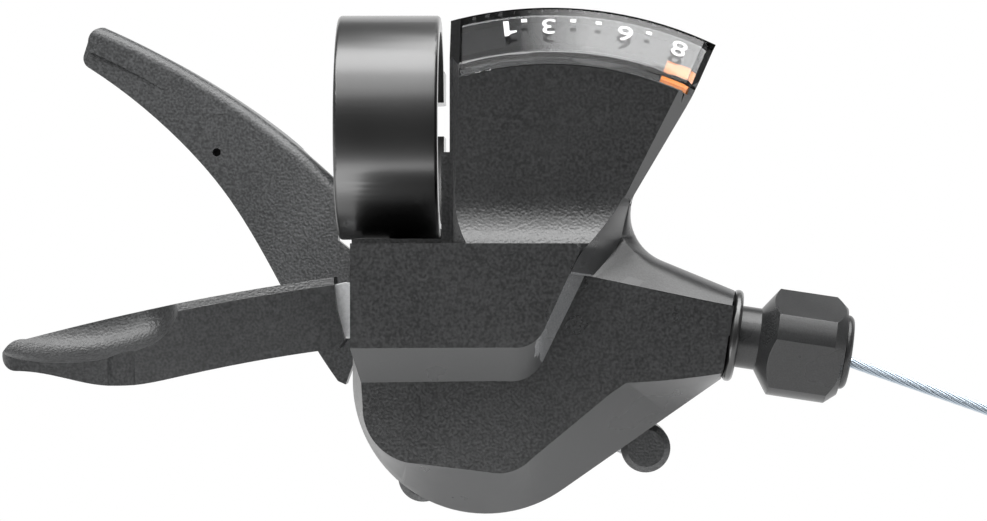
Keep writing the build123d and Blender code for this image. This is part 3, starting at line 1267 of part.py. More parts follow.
with BuildPart() as coil_tie:
    with BuildSketch(Plane(origin=(tie_at[0], -CABLE_DEPTH, tie_at[1]),
                           x_dir=(cos(radians(TIE_DEG)), 0, sin(radians(TIE_DEG))),
                           z_dir=(-sin(radians(TIE_DEG)), 0, cos(radians(TIE_DEG))))):
        Ellipse(BUNDLE_R + 0.8, BUNDLE_W + 0.8)
        Ellipse(BUNDLE_R - FIT, BUNDLE_W - FIT, mode=Mode.SUBTRACT)
    extrude(amount=1.25, both=True)
coil_tie.part.label = "coil_tie"
export_step(coil_tie.part, "parts/coil_tie.step")
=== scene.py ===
import json
from math import atan2, cos, degrees, hypot, pi, radians, sin

import bmesh
import bpy
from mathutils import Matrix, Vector


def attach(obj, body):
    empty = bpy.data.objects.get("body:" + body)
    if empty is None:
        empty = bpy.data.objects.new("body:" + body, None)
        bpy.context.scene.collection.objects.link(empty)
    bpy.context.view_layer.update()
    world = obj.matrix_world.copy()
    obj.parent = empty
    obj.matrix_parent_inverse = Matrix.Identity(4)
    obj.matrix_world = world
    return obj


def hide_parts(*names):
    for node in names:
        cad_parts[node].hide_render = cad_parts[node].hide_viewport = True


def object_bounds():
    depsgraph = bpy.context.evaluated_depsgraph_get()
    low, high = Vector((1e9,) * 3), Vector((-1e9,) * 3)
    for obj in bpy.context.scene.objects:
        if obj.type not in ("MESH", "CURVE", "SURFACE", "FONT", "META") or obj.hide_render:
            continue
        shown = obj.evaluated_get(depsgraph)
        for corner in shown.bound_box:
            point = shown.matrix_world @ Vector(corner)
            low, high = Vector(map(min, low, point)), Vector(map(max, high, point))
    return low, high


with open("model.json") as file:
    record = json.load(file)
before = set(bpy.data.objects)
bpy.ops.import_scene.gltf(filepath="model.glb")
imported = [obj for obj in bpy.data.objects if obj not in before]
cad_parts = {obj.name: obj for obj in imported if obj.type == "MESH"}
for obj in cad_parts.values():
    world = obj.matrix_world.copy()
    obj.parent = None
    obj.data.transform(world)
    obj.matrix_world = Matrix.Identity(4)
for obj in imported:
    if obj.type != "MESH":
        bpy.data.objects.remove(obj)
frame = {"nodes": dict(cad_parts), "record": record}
cad_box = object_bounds()
nodes = frame["nodes"]
body_of = {node: body for body, held in frame["record"]["behaviour"]["bodies"].items() for node in held}
scene = bpy.context.scene
MM = 0.001

# Sizes shared with the part's source, in millimetres; a depth is measured from the clamp's axis to the front
POINTER_PIVOT = (18.6, -30.2)
LENS_R, LENS_TOP_R = 38.0, 43.3
LENS_D, LENS_TOP_D = 17.7, 11.6
WINDOW_LEDGE_D = 13.2
RIM_D = 9.5
CABLE_D, CABLE_DEPTH = 1.2, 10.0
CABLE_EXIT, CABLE_FALL = (52.563, -26.906), 19.2
CABLE_RUN, COIL_R = 41.0, 12.25
COIL_STEP = 1.25
STRANDS, LAY = 12, 0.015

# The picture: level, seen from a little to the right of the point looked at
AIM = (12.0, -15.4)
CAMERA_X, CAMERA_D = 19.1, 406
FOCAL_LENGTH, SENSOR = 127.6, 36.0
PICTURE_MIDDLE = (493.5, 260.5)
MM_PER_PIXEL, SIGHT_LEAN = 0.11608, 0.0175


def at(x, z, d):
    """Place in metres of a point given in millimetres, d in front of the clamp's axis."""
    return Vector((x * MM, -d * MM, z * MM))


def from_pivot(x, z):
    """A place measured from the pointer pivot, in millimetres."""
    return x - POINTER_PIVOT[0], z - POINTER_PIVOT[1]


def put(name, data):
    """A new object in the scene, at the origin."""
    obj = bpy.data.objects.new(name, data)
    scene.collection.objects.link(obj)
    return obj


def baked(obj):
    """The object's mesh with its modifiers applied."""
    bpy.context.view_layer.update()
    return bpy.data.meshes.new_from_object(obj.evaluated_get(bpy.context.evaluated_depsgraph_get()))


def turned_to(place, target):
    """Rotation that makes a camera or light at a place look at a target."""
    return (Vector(target) - Vector(place)).to_track_quat("-Z", "Y").to_euler()


camera_data = bpy.data.cameras.new("photo_camera")
camera_data.sensor_width = SENSOR
camera_data.lens = FOCAL_LENGTH
camera_data.clip_start = 0.01
camera = put("photo_camera", camera_data)
camera.location = at(CAMERA_X, AIM[1], CAMERA_D)
camera.rotation_euler = turned_to(camera.location, at(*AIM, 0))
scene.camera = camera
scene.view_settings.view_transform = "Standard"


# ---- Node trees ----

class Wiring:
    """Short ways to add and join the nodes of one tree."""

    def __init__(self, tree):
        self.tree = tree

    def fill(self, node, inputs):
        """Sets a node's inputs, by name or number, to values or to other nodes' outputs."""
        for key, value in dict(inputs).items():
            if hasattr(value, "links"):
                self.tree.links.new(value, node.inputs[key])
            else:
                node.inputs[key].default_value = value

    def add(self, kind, inputs=(), **settings):
        """Outputs of a new node."""
        node = self.tree.nodes.new(kind)
        for key, value in settings.items():
            setattr(node, key, value)
        self.fill(node, inputs)
        return node.outputs

    def math(self, operation, *values):
        """Result of an operation on numbers."""
        return self.add("ShaderNodeMath", dict(enumerate(values)), operation=operation)[0]

    def vector(self, operation, *values):
        """Result of an operation on vectors."""
        keys = {"SCALE": ("Vector", "Scale")}.get(operation, range(len(values)))
        return self.add("ShaderNodeVectorMath", dict(zip(keys, values)), operation=operation)["Vector"]

    def spread(self, source, low, high, start=0.3, end=0.7):
        """A value of the range start to end carried over to the range low to high."""
        return self.add("ShaderNodeMapRange", {"Value": source, "From Min": start, "From Max": end,
                                               "To Min": low, "To Max": high})["Result"]

    def ramp(self, source, stops):
        """Colours between the (place, colour) stops."""
        node = self.tree.nodes.new("ShaderNodeValToRGB")
        while len(node.color_ramp.elements) < len(stops):
            node.color_ramp.elements.new(0.5)
        for element, (place, colour) in zip(node.color_ramp.elements, stops):
            element.position = place
            element.color = (*colour, 1.0)
        self.fill(node, {"Fac": source})
        return node.outputs["Color"]


class Finish(Wiring):
    """A material under construction, with patterns on the piece's own coordinates."""

    def __init__(self, name):
        self.material = bpy.data.materials.new(name)
        self.material.use_nodes = True
        super().__init__(self.material.node_tree)
        self.shader = self.tree.nodes["Principled BSDF"]
        self.place = self.add("ShaderNodeTexCoord")["Object"]

    def noise(self, scale, detail=2.0, rough=0.5, stretch=None):
        """Cloudy pattern; a larger scale makes it finer."""
        source = self.place
        if stretch:
            source = self.add("ShaderNodeMapping", {"Vector": source, "Scale": stretch})["Vector"]
        return self.add("ShaderNodeTexNoise", {"Vector": source, "Scale": scale, "Detail": detail,
                                               "Roughness": rough})["Fac"]

    def bump(self, source, height, strength=1.0):
        """Normals of a surface roughened by a pattern, its height in metres."""
        return self.add("ShaderNodeBump", {"Height": source, "Distance": height,
                                           "Strength": strength})["Normal"]

    def set(self, **sockets):
        """Sets the shader's sockets, named with low lines for spaces."""
        self.fill(self.shader, {key.replace("_", " "): value for key, value in sockets.items()})


# ---- Finishes ----

PLASTIC_TINT = 0.02


def grey(tone, tint=0.0):
    """A grey, or a colder one with a tint."""
    return (tone * (1 - tint), tone, tone * (1 + tint))


def dimmed(colour, share):
    """A share of a colour's brightness."""
    return tuple(c * share for c in colour)


def moulded_plastic(name, tone, grain, depth, rough, rub=0.25, ior=1.58):
    """Moulded plastic: fine spark-eroded grain, slight cloudiness in colour and in gloss."""
    f = Finish(name)
    cloud = f.noise(scale=120, detail=3)
    fine = f.noise(scale=grain, detail=0.6)
    low, high = grey(tone * (1 - rub), PLASTIC_TINT), grey(tone * (1 + rub), PLASTIC_TINT)
    f.set(Base_Color=f.ramp(fine, [(0.30, low), (0.72, high)]), IOR=ior, Normal=f.bump(fine, depth),
          Roughness=f.spread(cloud, rough - 0.05, rough + 0.05))
    return f.material


def metal(name, colour, rough, scratch, stretch=(1, 1, 1), depth=2e-6, bare=1.0):
    """Worked metal with streaks; bare is less than 1 under a dull plating."""
    f = Finish(name)
    streak = f.noise(scale=scratch, detail=3, rough=0.6, stretch=stretch)
    f.set(Base_Color=f.ramp(streak, [(0.25, dimmed(colour, 0.82)), (0.75, colour)]), Metallic=bare,
          Roughness=f.spread(streak, rough - 0.06, rough + 0.08), Normal=f.bump(streak, depth))
    return f.material


def anodised(name, tone, rough, depth):
    """Black anodised aluminium: a blasted metal under its clear, glossier oxide skin."""
    f = Finish(name)
    blast = f.noise(scale=5200, rough=0.6)
    cloud = f.noise(scale=90)
    f.set(Base_Color=f.ramp(cloud, [(0.3, grey(tone * 0.93)), (0.7, grey(tone * 1.07))]), Metallic=1.0,
          Roughness=f.spread(cloud, rough - 0.02, rough + 0.02), Normal=f.bump(blast, depth),
          Coat_Weight=1.0, Coat_Roughness=0.24, Coat_IOR=1.58)
    return f.material


def clear_plastic(name):
    """Clear lens plastic with a faint haze."""
    f = Finish(name)
    haze = f.noise(scale=400)
    f.set(Base_Color=f.ramp(haze, [(0.2, (0.93, 0.94, 0.95)), (0.8, (0.97, 0.98, 0.985))]),
          Roughness=f.spread(haze, 0.05, 0.08), Transmission_Weight=1.0, IOR=1.49)
    return f.material


def print_ink(name, colour):
    """Matt ink, slightly uneven."""
    f = Finish(name)
    dots = f.noise(scale=9000, detail=1)
    f.set(Base_Color=f.ramp(dots, [(0.3, dimmed(colour, 0.94)), (0.7, colour)]), Roughness=0.5)
    return f.material


def wire_finish(name, colour):
    """Bright wire rope: a helical groove between strands, read from the cable's own attributes, with painted
    shade in the groove.
    """
    f = Finish(name)
    around = f.add("ShaderNodeAttribute", attribute_name="around")["Vector"]
    along = f.add("ShaderNodeAttribute", attribute_name="along")["Fac"]
    across = f.add("ShaderNodeSeparateXYZ", {"Vector": around})
    twist = f.math("MULTIPLY_ADD", along, -2 * pi / LAY, f.math("ARCTAN2", across["Y"], across["X"]))
    wave = f.math("COSINE", f.math("MULTIPLY", twist, STRANDS))
    groove = f.spread(wave, 0.0, 1.0, -1.0, 1.0)
    # The base colour darkens to under half towards each groove's bottom: painted shade between the strands
    f.set(Base_Color=f.ramp(groove, [(0.0, dimmed(colour, 0.45)), (0.35, colour)]), Metallic=1.0,
          Roughness=f.spread(f.noise(scale=6000), 0.24, 0.36), Normal=f.bump(groove, 6e-5, strength=0.8))
    return f.material


WIRE_COLOUR = (0.60, 0.68, 0.76)
panel_grain = moulded_plastic("panel_grain", 0.034, 3300, 5e-5, 0.32, rub=0.45, ior=1.75)
# Five times the panel's tone on the ribbon's right-facing faces: painted light from the right side, not a
# different plastic
ribbon_side = moulded_plastic("ribbon_side", 0.17, 8000, 1.5e-6, 0.30)
crown_grain = moulded_plastic("crown_grain", 0.030, 5200, 1.2e-5, 0.33)
ribbon_satin = moulded_plastic("ribbon_satin", 0.045, 8000, 1.5e-6, 0.30, rub=0.06)
thumb_grain = moulded_plastic("thumb_grain", 0.080, 3400, 4.5e-5, 0.32, rub=0.35)
release_grain = moulded_plastic("release_grain", 0.044, 3400, 4.5e-5, 0.32, rub=0.35)
knob_satin = moulded_plastic("knob_satin", 0.030, 6500, 6e-6, 0.30)
case_black = moulded_plastic("case_black", 0.062, 3400, 4e-5, 0.36)
band_black = anodised("band_black", 0.085, 0.42, 4e-6)
bush_black = anodised("bush_black", 0.08, 0.42, 2e-6)
bolt_black = metal("bolt_black", (0.10, 0.10, 0.105), 0.35, 900)
zinc_plate = metal("zinc_plate", (0.95, 0.96, 0.97), 0.36, 2600, depth=1.2e-5, bare=0.12)
pin_steel = metal("pin_steel", (0.62, 0.62, 0.64), 0.30, 1500, (1, 12, 1))
spring_steel = metal("spring_steel", (0.50, 0.50, 0.52), 0.32, 2400)
cast_zinc = metal("cast_zinc", (0.60, 0.61, 0.62), 0.45, 1900, depth=5e-6)
brass_turned = metal("brass_turned", (0.74, 0.55, 0.26), 0.30, 1200)
drum_nylon = moulded_plastic("drum_nylon", 0.10, 2600, 3e-6, 0.40)
dial_matt = moulded_plastic("dial_matt", 0.009, 3000, 4e-6, 0.75, ior=1.2)
flag_orange = print_ink("flag_orange", (1.0, 0.27, 0.012))
numeral_white = print_ink("numeral_white", (0.90, 0.90, 0.90))
lens_clear = clear_plastic("lens_clear")
lens_edge = moulded_plastic("lens_edge", 0.16, 2400, 3e-6, 0.40, rub=0.1)
tie_black = moulded_plastic("tie_black", 0.02, 3000, 3e-6, 0.4)
cable_wire = wire_finish("cable_wire", WIRE_COLOUR)
strand_wire = metal("strand_wire", WIRE_COLOUR, 0.30, 5200)

for finish, names in (
        (panel_grain, "front_cover"), (case_black, "rear_case"), (thumb_grain, "thumb_lever"),
        (release_grain, "release_lever"), (band_black, "clamp_band"), (bolt_black, "clamp_bolt"),
        (lens_clear, "display_lens"), (dial_matt, "dial_plate"), (flag_orange, "pointer"),
        (knob_satin, "port_plug adjuster_knob casing_ferrule"), (bush_black, "adjuster_bush"),
        (zinc_plate, "base_plate thumb_plate release_plate ratchet_wheel hold_pawl feed_pawl"),
        (pin_steel, "main_axle axle_clips pointer_pin release_stud feed_pin"),
        (pin_steel, "foot_screw boss_screws cover_screws"), (drum_nylon, "cable_drum"),
        (spring_steel, "drum_spring thumb_spring release_spring"), (brass_turned, "detent_ring"),
        (cable_wire, "inner_cable cable_run cable_coil"), (cast_zinc, "cable_head"), (tie_black, "coil_tie")):
    for name in names.split():
        nodes[name].data.materials.clear()
        nodes[name].data.materials.append(finish)


# ---- Dressed copies of the outer pieces ----

SAME_POINT = 2e-6
CREASE = radians(26)
EDGE_SEGMENTS = 3


def dressed(node, edge, finishes, choose=None, reshape=None, flat=0.4, harden=True):
    """A merged copy of a CAD node with rounded edges; choose(face) picks one of its finishes."""
    bm = bmesh.new()
    bm.from_mesh(nodes[node].data)
    bmesh.ops.remove_doubles(bm, verts=bm.verts, dist=SAME_POINT)
    bmesh.ops.dissolve_limit(bm, angle_limit=radians(flat), verts=bm.verts, edges=bm.edges)
    bmesh.ops.recalc_face_normals(bm, faces=bm.faces)
    if reshape:
        reshape(bm)
    for face in bm.faces:
        face.smooth = True
        face.material_index = choose(face) if choose else 0
    for seam in bm.edges:
        seam.smooth = len(seam.link_faces) == 2 and seam.calc_face_angle(0.0) < CREASE
    mesh = bpy.data.meshes.new(node + "_dressed")
    bm.to_mesh(mesh)
    bm.free()
    for finish in finishes:
        mesh.materials.append(finish)
    obj = put(node + "_dressed", mesh)
    bevel = obj.modifiers.new("rounded_edges", "BEVEL")
    bevel.width = edge * MM
    bevel.segments = EDGE_SEGMENTS
    bevel.limit_method = "ANGLE"
    bevel.angle_limit = CREASE
    bevel.harden_normals = harden
    bevel.use_clamp_overlap = True
    made = baked(obj)
    obj.modifiers.clear()
    obj.data = made
    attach(obj, body_of[node])
    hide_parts(node)


LENS_FINISHES = [lens_clear, lens_edge]
CLEAR, FROSTED = range(2)


def lens_finish(face):
    """Frosted lower edge of the lip, clear elsewhere."""
    c = face.calc_center_median() / MM
    inward = Vector((POINTER_PIVOT[0] - c.x, 0, POINTER_PIVOT[1] - c.z)).normalized()
    return FROSTED if face.normal.dot(inward) > 0.3 and face.normal.y < 0.2 else CLEAR


# Finishes of the front cover, and where they lie on it
COVER_FINISHES = [panel_grain, ribbon_satin, dial_matt, ribbon_side, crown_grain]
GRAIN, SATIN, WINDOW, SIDE, CROWN = range(5)
RAISED_D = 15.9
FLANK_FOOT_Z, FLANK_BACK_D = -17.3, 12.6
# Where the painted light from the right lies: low right-facing faces of the flank, left of a given x
SIDE_LOW_Z, SIDE_HIGH_Z, SIDE_RIGHT_X = -26, -16.9, 27
CROWN_LEFT_X, CROWN_HIGH_Z, CROWN_FRONT_D = 23.2, -8.9, 16.7
WINDOW_WIDER, WINDOW_DEEPER = 1.7, 0.3


def cover_finish(face):
    """Smooth finish on the slopes and the neck's right flank, a much lighter tone as painted light on the
    flank's low right-facing faces, matt black in the window, grain elsewhere.
    """
    n = face.normal
    c = face.calc_center_median() / MM
    depth = -c.y
    slope = n.z < -0.25 and n.y < -0.2
    steep = n.x > 0.5 and c.z > FLANK_FOOT_Z and depth > FLANK_BACK_D
    flank = n.x > 0.2 and n.y < -0.2 and (depth > RAISED_D or steep)
    # Right-facing flank faces in this band get the lighter tone as painted light from the right
    if flank and n.x > 0.5 and SIDE_LOW_Z < c.z < SIDE_HIGH_Z and c.x < SIDE_RIGHT_X:
        return SIDE
    on_nose = c.x > CROWN_LEFT_X and c.z < CROWN_HIGH_Z and RIM_D + 0.01 < depth < CROWN_FRONT_D
    if n.z > 0.15 and n.y < 0 and on_nose and not flank:
        return CROWN
    nearest = min(hypot(*from_pivot(v.co.x / MM, v.co.z / MM)) for v in face.verts)
    under_lens = nearest > LENS_R - WINDOW_WIDER and depth < LENS_D - WINDOW_DEEPER and n.y < -0.3
    if under_lens or abs(depth - WINDOW_LEDGE_D) < 0.05 and n.y < -0.9:
        return WINDOW
    return SATIN if slope or flank else GRAIN


# Crown of the cable nose, as (x, z, depth) points: the panel's edge with the flank's foot, the line where
# the slope bends over, and the flank's two edges; the rim is a straight line and an arc
CROWN_EDGE = [(38.93, -20.43, 14.82), (36.23, -19.91, 15.20), (33.09, -19.25, 15.62),
              (29.17, -18.43, 16.12), (25.82, -17.73, 16.53), (23.26, -17.19, 16.62),
              (24.55, -15.79, 15.30), (25.64, -14.45, 14.00), (26.45, -13.10, 12.80),
              (26.71, -11.75, 13.40), (27.03, -10.42, 14.60), (27.39, -8.99, 15.90)]
CROWN_BEND = [(38.93, -20.36, 14.75), (36.24, -19.68, 15.00), (33.23, -18.42, 14.95),
              (30.66, -16.80, 14.60), (28.89, -15.46, 14.10), (27.89, -14.28, 13.40),
              (27.23, -13.55, 13.00), (26.84, -13.15, 12.85), (26.62, -12.76, 12.70),
              (26.80, -11.71, 13.20), (27.10, -10.39, 14.30), (27.44, -8.97, 15.60)]
FOOT_INDEX = 5
FLANK_LEFT = [(26.81, -8.12, 17.23), (26.25, -9.12, 17.30), (25.58, -10.29, 17.54), (24.46, -11.69, 18.12),
              (23.45, -12.91, 18.93), (22.45, -14.02, 19.93), (21.67, -15.12, 20.17), (20.79, -16.89, 20.17)]
FLANK_RIGHT = [(27.50, -8.60, 16.10)] + CROWN_EDGE[:FOOT_INDEX - 1:-1]
NOSE_RIM, COVE_RIM = (39.419, -18.784), (31.142, -15.377)
COVE_RIM_MID, COVE_RIM_TOP = (27.953, -11.881), (28.503, -7.181)
RIM_SHARES = [0.0, 0.3, 0.6, 0.86, 1.06, 1.16, 1.25, 1.33, 1.42, 1.52, 1.62, 1.74]
SLOPE_TAN = 0.78
SPAN_POINTS, EDGE_ROWS, ROLL_ROWS = 5, 3, 9


def arc_through(p, m, q, t):
    """Point at a share t of the circular arc from p through m to q."""
    p, m, q = Vector(p), Vector(m), Vector(q)
    u, v = m - p, q - p
    twice = 2 * (u.x * v.y - u.y * v.x)
    c = p + Vector((v.y * u.dot(u) - u.y * v.dot(v), u.x * v.dot(v) - v.x * u.dot(u))) / twice
    first, last = atan2(p.y - c.y, p.x - c.x), atan2(q.y - c.y, q.x - c.x)
    sweep = (last - first) % (2 * pi)
    if (atan2(m.y - c.y, m.x - c.x) - first) % (2 * pi) > sweep:
        sweep -= 2 * pi
    r = (p - c).length
    return (c.x + r * cos(first + sweep * t), c.y + r * sin(first + sweep * t))


def rim_at(share):
    """The rim from the collar (0) along the nose (1) and round the cove (2)."""
    if share < 1:
        return Vector((*(a + (b - a) * share for a, b in zip(NOSE_RIM, COVE_RIM)), RIM_D))
    return Vector((*arc_through(COVE_RIM, COVE_RIM_MID, COVE_RIM_TOP, share - 1), RIM_D))


def eased(points):
    """Points on a smooth curve through the given ones."""
    curve = []
    for k in range(len(points) - 1):
        p, q = Vector(points[k]), Vector(points[k + 1])
        before = Vector(points[k - 1]) if k else p
        after = Vector(points[k + 2]) if k + 2 < len(points) else q
        leave, arrive = (q - before) / 2, (after - p) / 2
        for j in range(SPAN_POINTS):
            t = j / SPAN_POINTS
            curve.append(p * (2 * t ** 3 - 3 * t * t + 1) + leave * (t ** 3 - 2 * t * t + t)
                         + q * (3 * t * t - 2 * t ** 3) + arrive * (t ** 3 - t * t))
    return curve + [Vector(points[-1])]


def inside(x, z, outline):
    """Even-odd test of a point against a closed outline."""
    hit = False
    for (ax, az), (bx, bz) in zip(outline, outline[1:] + outline[:1]):
        if (az > z) != (bz > z) and x < ax + (bx - ax) * (z - az) / (bz - az):
            hit = not hit
    return hit


def outward(face):
    """Whether a face of the cover is on its outside and in front of the rim."""
    return (face.normal.y < 0.05 or face.normal.x > 0.25) and \
        -face.calc_center_median().y / MM > RIM_D + 0.05


def beside(face, a, b, margin=0.5):
    """Whether a face's extent in x and z comes near the segment from a to b."""
    for axis, one, two in ((0, a[0], b[0]), (2, a[1], b[1])):
        extent = [v.co[axis] / MM for v in face.verts]
        if max(extent) <= min(one, two) - margin or min(extent) >= max(one, two) + margin:
            return False
    return True


def clear_crown(bm, rim):
    """Cuts the cover along the crown's border and takes away the faces within."""
    foot, collar = CROWN_EDGE[FOOT_INDEX][:2], CROWN_EDGE[0][:2]
    border = [p[:2] for p in FLANK_LEFT] + [foot, collar]
    for a, b in zip(border, border[1:]):
        near = [f for f in bm.faces if outward(f) and beside(f, a, b)]
        held = near + [e for f in near for e in f.edges] + [v for f in near for v in f.verts]
        bmesh.ops.bisect_plane(bm, geom=list(dict.fromkeys(held)), dist=1e-6, plane_co=at(*a, 0),
                               plane_no=Vector((b[1] - a[1], 0, a[0] - b[0])).normalized())
    outline = border + [p[:2] for p in rim]
    gone = []
    for face in bm.faces:
        c = face.calc_center_median() / MM
        if outward(face) and inside(c.x, c.z, outline):
            gone.append(face)
    bmesh.ops.delete(bm, geom=gone, context="FACES")


def rolled_crown(bm):
    """A smooth flank, slope and roll in place of the facets on top of the cable nose."""
    nose_edge = eased(CROWN_EDGE[:FOOT_INDEX + 1])
    edge = nose_edge[:-1] + eased(CROWN_EDGE[FOOT_INDEX:])
    bend = eased(CROWN_BEND)
    rim = [rim_at(a + (b - a) * j / SPAN_POINTS)
           for a, b in zip(RIM_SHARES, RIM_SHARES[1:]) for j in range(SPAN_POINTS)]
    rim.append(rim_at(RIM_SHARES[-1]))
    clear_crown(bm, rim)
    grid = []
    for a, b, c in zip(edge, bend, rim):
        over = Vector((c.x, c.y, b.z - SLOPE_TAN * (b.xy - c.xy).length))
        row = [a.lerp(b, k / EDGE_ROWS) for k in range(EDGE_ROWS)]
        for k in range(ROLL_ROWS + 1):
            t = k / ROLL_ROWS
            row.append(b.lerp(over, t).lerp(over.lerp(c, t), t))
        grid.append([bm.verts.new(at(*p)) for p in row])
    for one, two in zip(grid, grid[1:]):
        for k in range(len(one) - 1):
            bm.faces.new((one[k], one[k + 1], two[k + 1], two[k]))
    shared = [row[0] for row in grid[len(nose_edge) - 1:]]
    left, right = eased(FLANK_LEFT), eased(FLANK_RIGHT)
    seam = [bm.verts.new(at(*p)) for p in right[:len(right) - len(shared)]] + shared[::-1]
    border = [bm.verts.new(at(*p)) for p in left]
    for k in range(len(border) - 1):
        bm.faces.new((border[k + 1], seam[k + 1], seam[k], border[k]))
    bm.normal_update()


dressed("front_cover", 0.3, COVER_FINISHES, cover_finish, rolled_crown)
for node, slot, edge, finish in (
        ("rear_case", "shell", 0.35, case_black),
        ("thumb_lever", "lever_plastic", 0.35, thumb_grain),
        ("release_lever", "lever_plastic", 0.35, release_grain),
        ("clamp_band", "clamp_metal", 0.25, band_black),
        ("clamp_bolt", "dark_screw", 0.2, bolt_black),
        ("adjuster_knob", "knob_plastic", 0.3, knob_satin),
        ("casing_ferrule", "knob_plastic", 0.2, knob_satin),
        ("adjuster_bush", "bush_metal", 0.15, bush_black),
        ("release_plate", "plate_steel", 0.15, zinc_plate)):
    dressed(node, edge, [finish])
dressed("display_lens", 0.06, LENS_FINISHES, lens_finish, flat=0.02, harden=False)


# ---- Pieces that follow a rule ----

def piece_from(name, mesh, body):
    """A finished mesh as a piece of the object, riding on a body."""
    obj = put(name, mesh)
    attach(obj, body)
    return obj


class Recipe(Wiring):
    """A Geometry Nodes tree with named inputs, whose result is realized and painted."""

    def __init__(self, name, inputs):
        super().__init__(bpy.data.node_groups.new(name, "GeometryNodeTree"))
        panel = self.tree.interface
        panel.new_socket("Geometry", in_out="INPUT", socket_type="NodeSocketGeometry")
        self.keys = {}
        for label, kind in inputs.items():
            socket = panel.new_socket(label, in_out="INPUT", socket_type="NodeSocket" + kind)
            self.keys[label] = socket.identifier
        panel.new_socket("Geometry", in_out="OUTPUT", socket_type="NodeSocketGeometry")
        self.given = self.tree.nodes.new("NodeGroupInput").outputs

    def end(self, *painted):
        """Ends the tree: each (geometry, material) pair is realized and painted, then joined."""
        joined = self.tree.nodes.new("GeometryNodeJoinGeometry")
        for geometry, material in painted:
            whole = self.add("GeometryNodeRealizeInstances", {"Geometry": geometry})[0]
            finished = self.add("GeometryNodeSetMaterial", {"Geometry": whole, "Material": material})[0]
            self.tree.links.new(finished, joined.inputs[0])
        self.tree.links.new(joined.outputs[0], self.tree.nodes.new("NodeGroupOutput").inputs["Geometry"])

    def make(self, name, mesh, values):
        """The tree's result on a mesh, as a plain mesh."""
        obj = put(name, mesh)
        modifier = obj.modifiers.new(name, "NODES")
        modifier.node_group = self.tree
        for label, value in values.items():
            modifier[self.keys[label]] = value
        made = baked(obj)
        bpy.data.objects.remove(obj)
        return made


# Inner cable outside the shifter: a straight springy run, then a tied coil of flat layers, each given as
# its distance from the middle layer and its count of turns
LAYERS = [(2.5, 4), (1.25, 6), (0.0, 6), (-1.25, 6), (-2.5, 4)]
KNOTS = 18
CROSSINGS = 9
RUN_KNOTS, RUN_EASE = (6.0, 16.0, 27.0, 35.0), 38.0
OPEN_RUN, RUN_STEP = 0.036, 0.0003
PAST_END = 10.0
STRAND_SIDES, TUBE_SIDES = 8, 12
# Trim Curve's inputs for a start and an end given as lengths
TRIM_START, TRIM_END = 4, 5


def ease(t):
    """A share from 0 to 1 that starts and ends gently."""
    t = min(1.0, max(0.0, t))
    return t * t * (3 - 2 * t)


def coil_seats():
    """Each turn's (radius, sideways place), and the ninth of the turn in which it moves to the next seat."""
    seats, moves = [], []
    side, ninth = 1, CROSSINGS
    for k, (rise, count) in enumerate(LAYERS):
        seats += [(COIL_R + rise, side * COIL_STEP * (j - (count - 1) / 2)) for j in range(count)]
        side = -side
        ninth -= 1
        moves += [ninth] * (count - 1)
        if k < len(LAYERS) - 1:
            ninth -= 1
            moves.append(ninth)
    return seats, moves + [None]


def cable_route():
    """Control points (x, z, sideways) of the free cable, in millimetres."""
    fall = radians(CABLE_FALL)
    outwards, upwards = Vector((cos(fall), -sin(fall))), Vector((sin(fall), cos(fall)))
    start = Vector(CABLE_EXIT)
    middle = start + outwards * CABLE_RUN - upwards * COIL_R
    seats, moves = coil_seats()
    route = [(start.x, start.y, 0.0)]
    for s in RUN_KNOTS:
        p = start + outwards * s
        route.append((p.x, p.y, seats[0][1] * ease(s / RUN_EASE)))
    for turn, seat in enumerate(seats):
        after = seats[min(turn + 1, len(seats) - 1)]
        for k in range(KNOTS):
            t = k / KNOTS
            shift = 0.0 if moves[turn] is None else ease((t - moves[turn] / CROSSINGS) * CROSSINGS)
            r = (seat[0] + (after[0] - seat[0]) * shift) / cos(pi / KNOTS)
            a = radians(90 - CABLE_FALL) - 2 * pi * t
            route.append((middle.x + r * cos(a), middle.y + r * sin(a),
                          seat[1] + (after[1] - seat[1]) * shift))
    return route


def cable_path():
    """Points along the cable's middle, read from a smooth curve over its route."""
    route = cable_route()
    line = bpy.data.curves.new("cable_line", "CURVE")
    line.dimensions = "3D"
    spline = line.splines.new("NURBS")
    spline.points.add(len(route) - 1)
    for point, (x, z, y) in zip(spline.points, route):
        point.co = (x * MM, (y - CABLE_DEPTH) * MM, z * MM, 1.0)
    spline.order_u = 3
    spline.use_endpoint_u = True
    line.resolution_u = 4
    line_obj = put("cable_line", line)
    bpy.context.view_layer.update()
    read = bpy.data.meshes.new_from_object(line_obj)
    bpy.data.objects.remove(line_obj)
    return [v.co.copy() for v in read.vertices]


def swept(recipe, curve, radius, sides):
    """Tube along a curve that keeps where each point lies along and around it."""
    place = recipe.add("GeometryNodeSplineParameter")
    line = recipe.add("GeometryNodeStoreNamedAttribute",
                      {"Geometry": curve, "Name": "along", "Value": place["Length"]}, data_type="FLOAT")[0]
    circle = recipe.add("GeometryNodeCurvePrimitiveCircle", {"Resolution": sides, "Radius": radius})[0]
    spin = recipe.math("MULTIPLY", place["Factor"], 2 * pi)
    spot = recipe.add("ShaderNodeCombineXYZ", {"X": recipe.math("COSINE", spin),
                                               "Y": recipe.math("SINE", spin)})[0]
    ring = recipe.add("GeometryNodeStoreNamedAttribute",
                      {"Geometry": circle, "Name": "around", "Value": spot}, data_type="FLOAT_VECTOR")[0]
    tube = recipe.add("GeometryNodeCurveToMesh", {"Curve": line, "Profile Curve": ring, "Fill Caps": True})[0]
    return recipe.add("GeometryNodeSetShadeSmooth", {"Geometry": tube})[0]


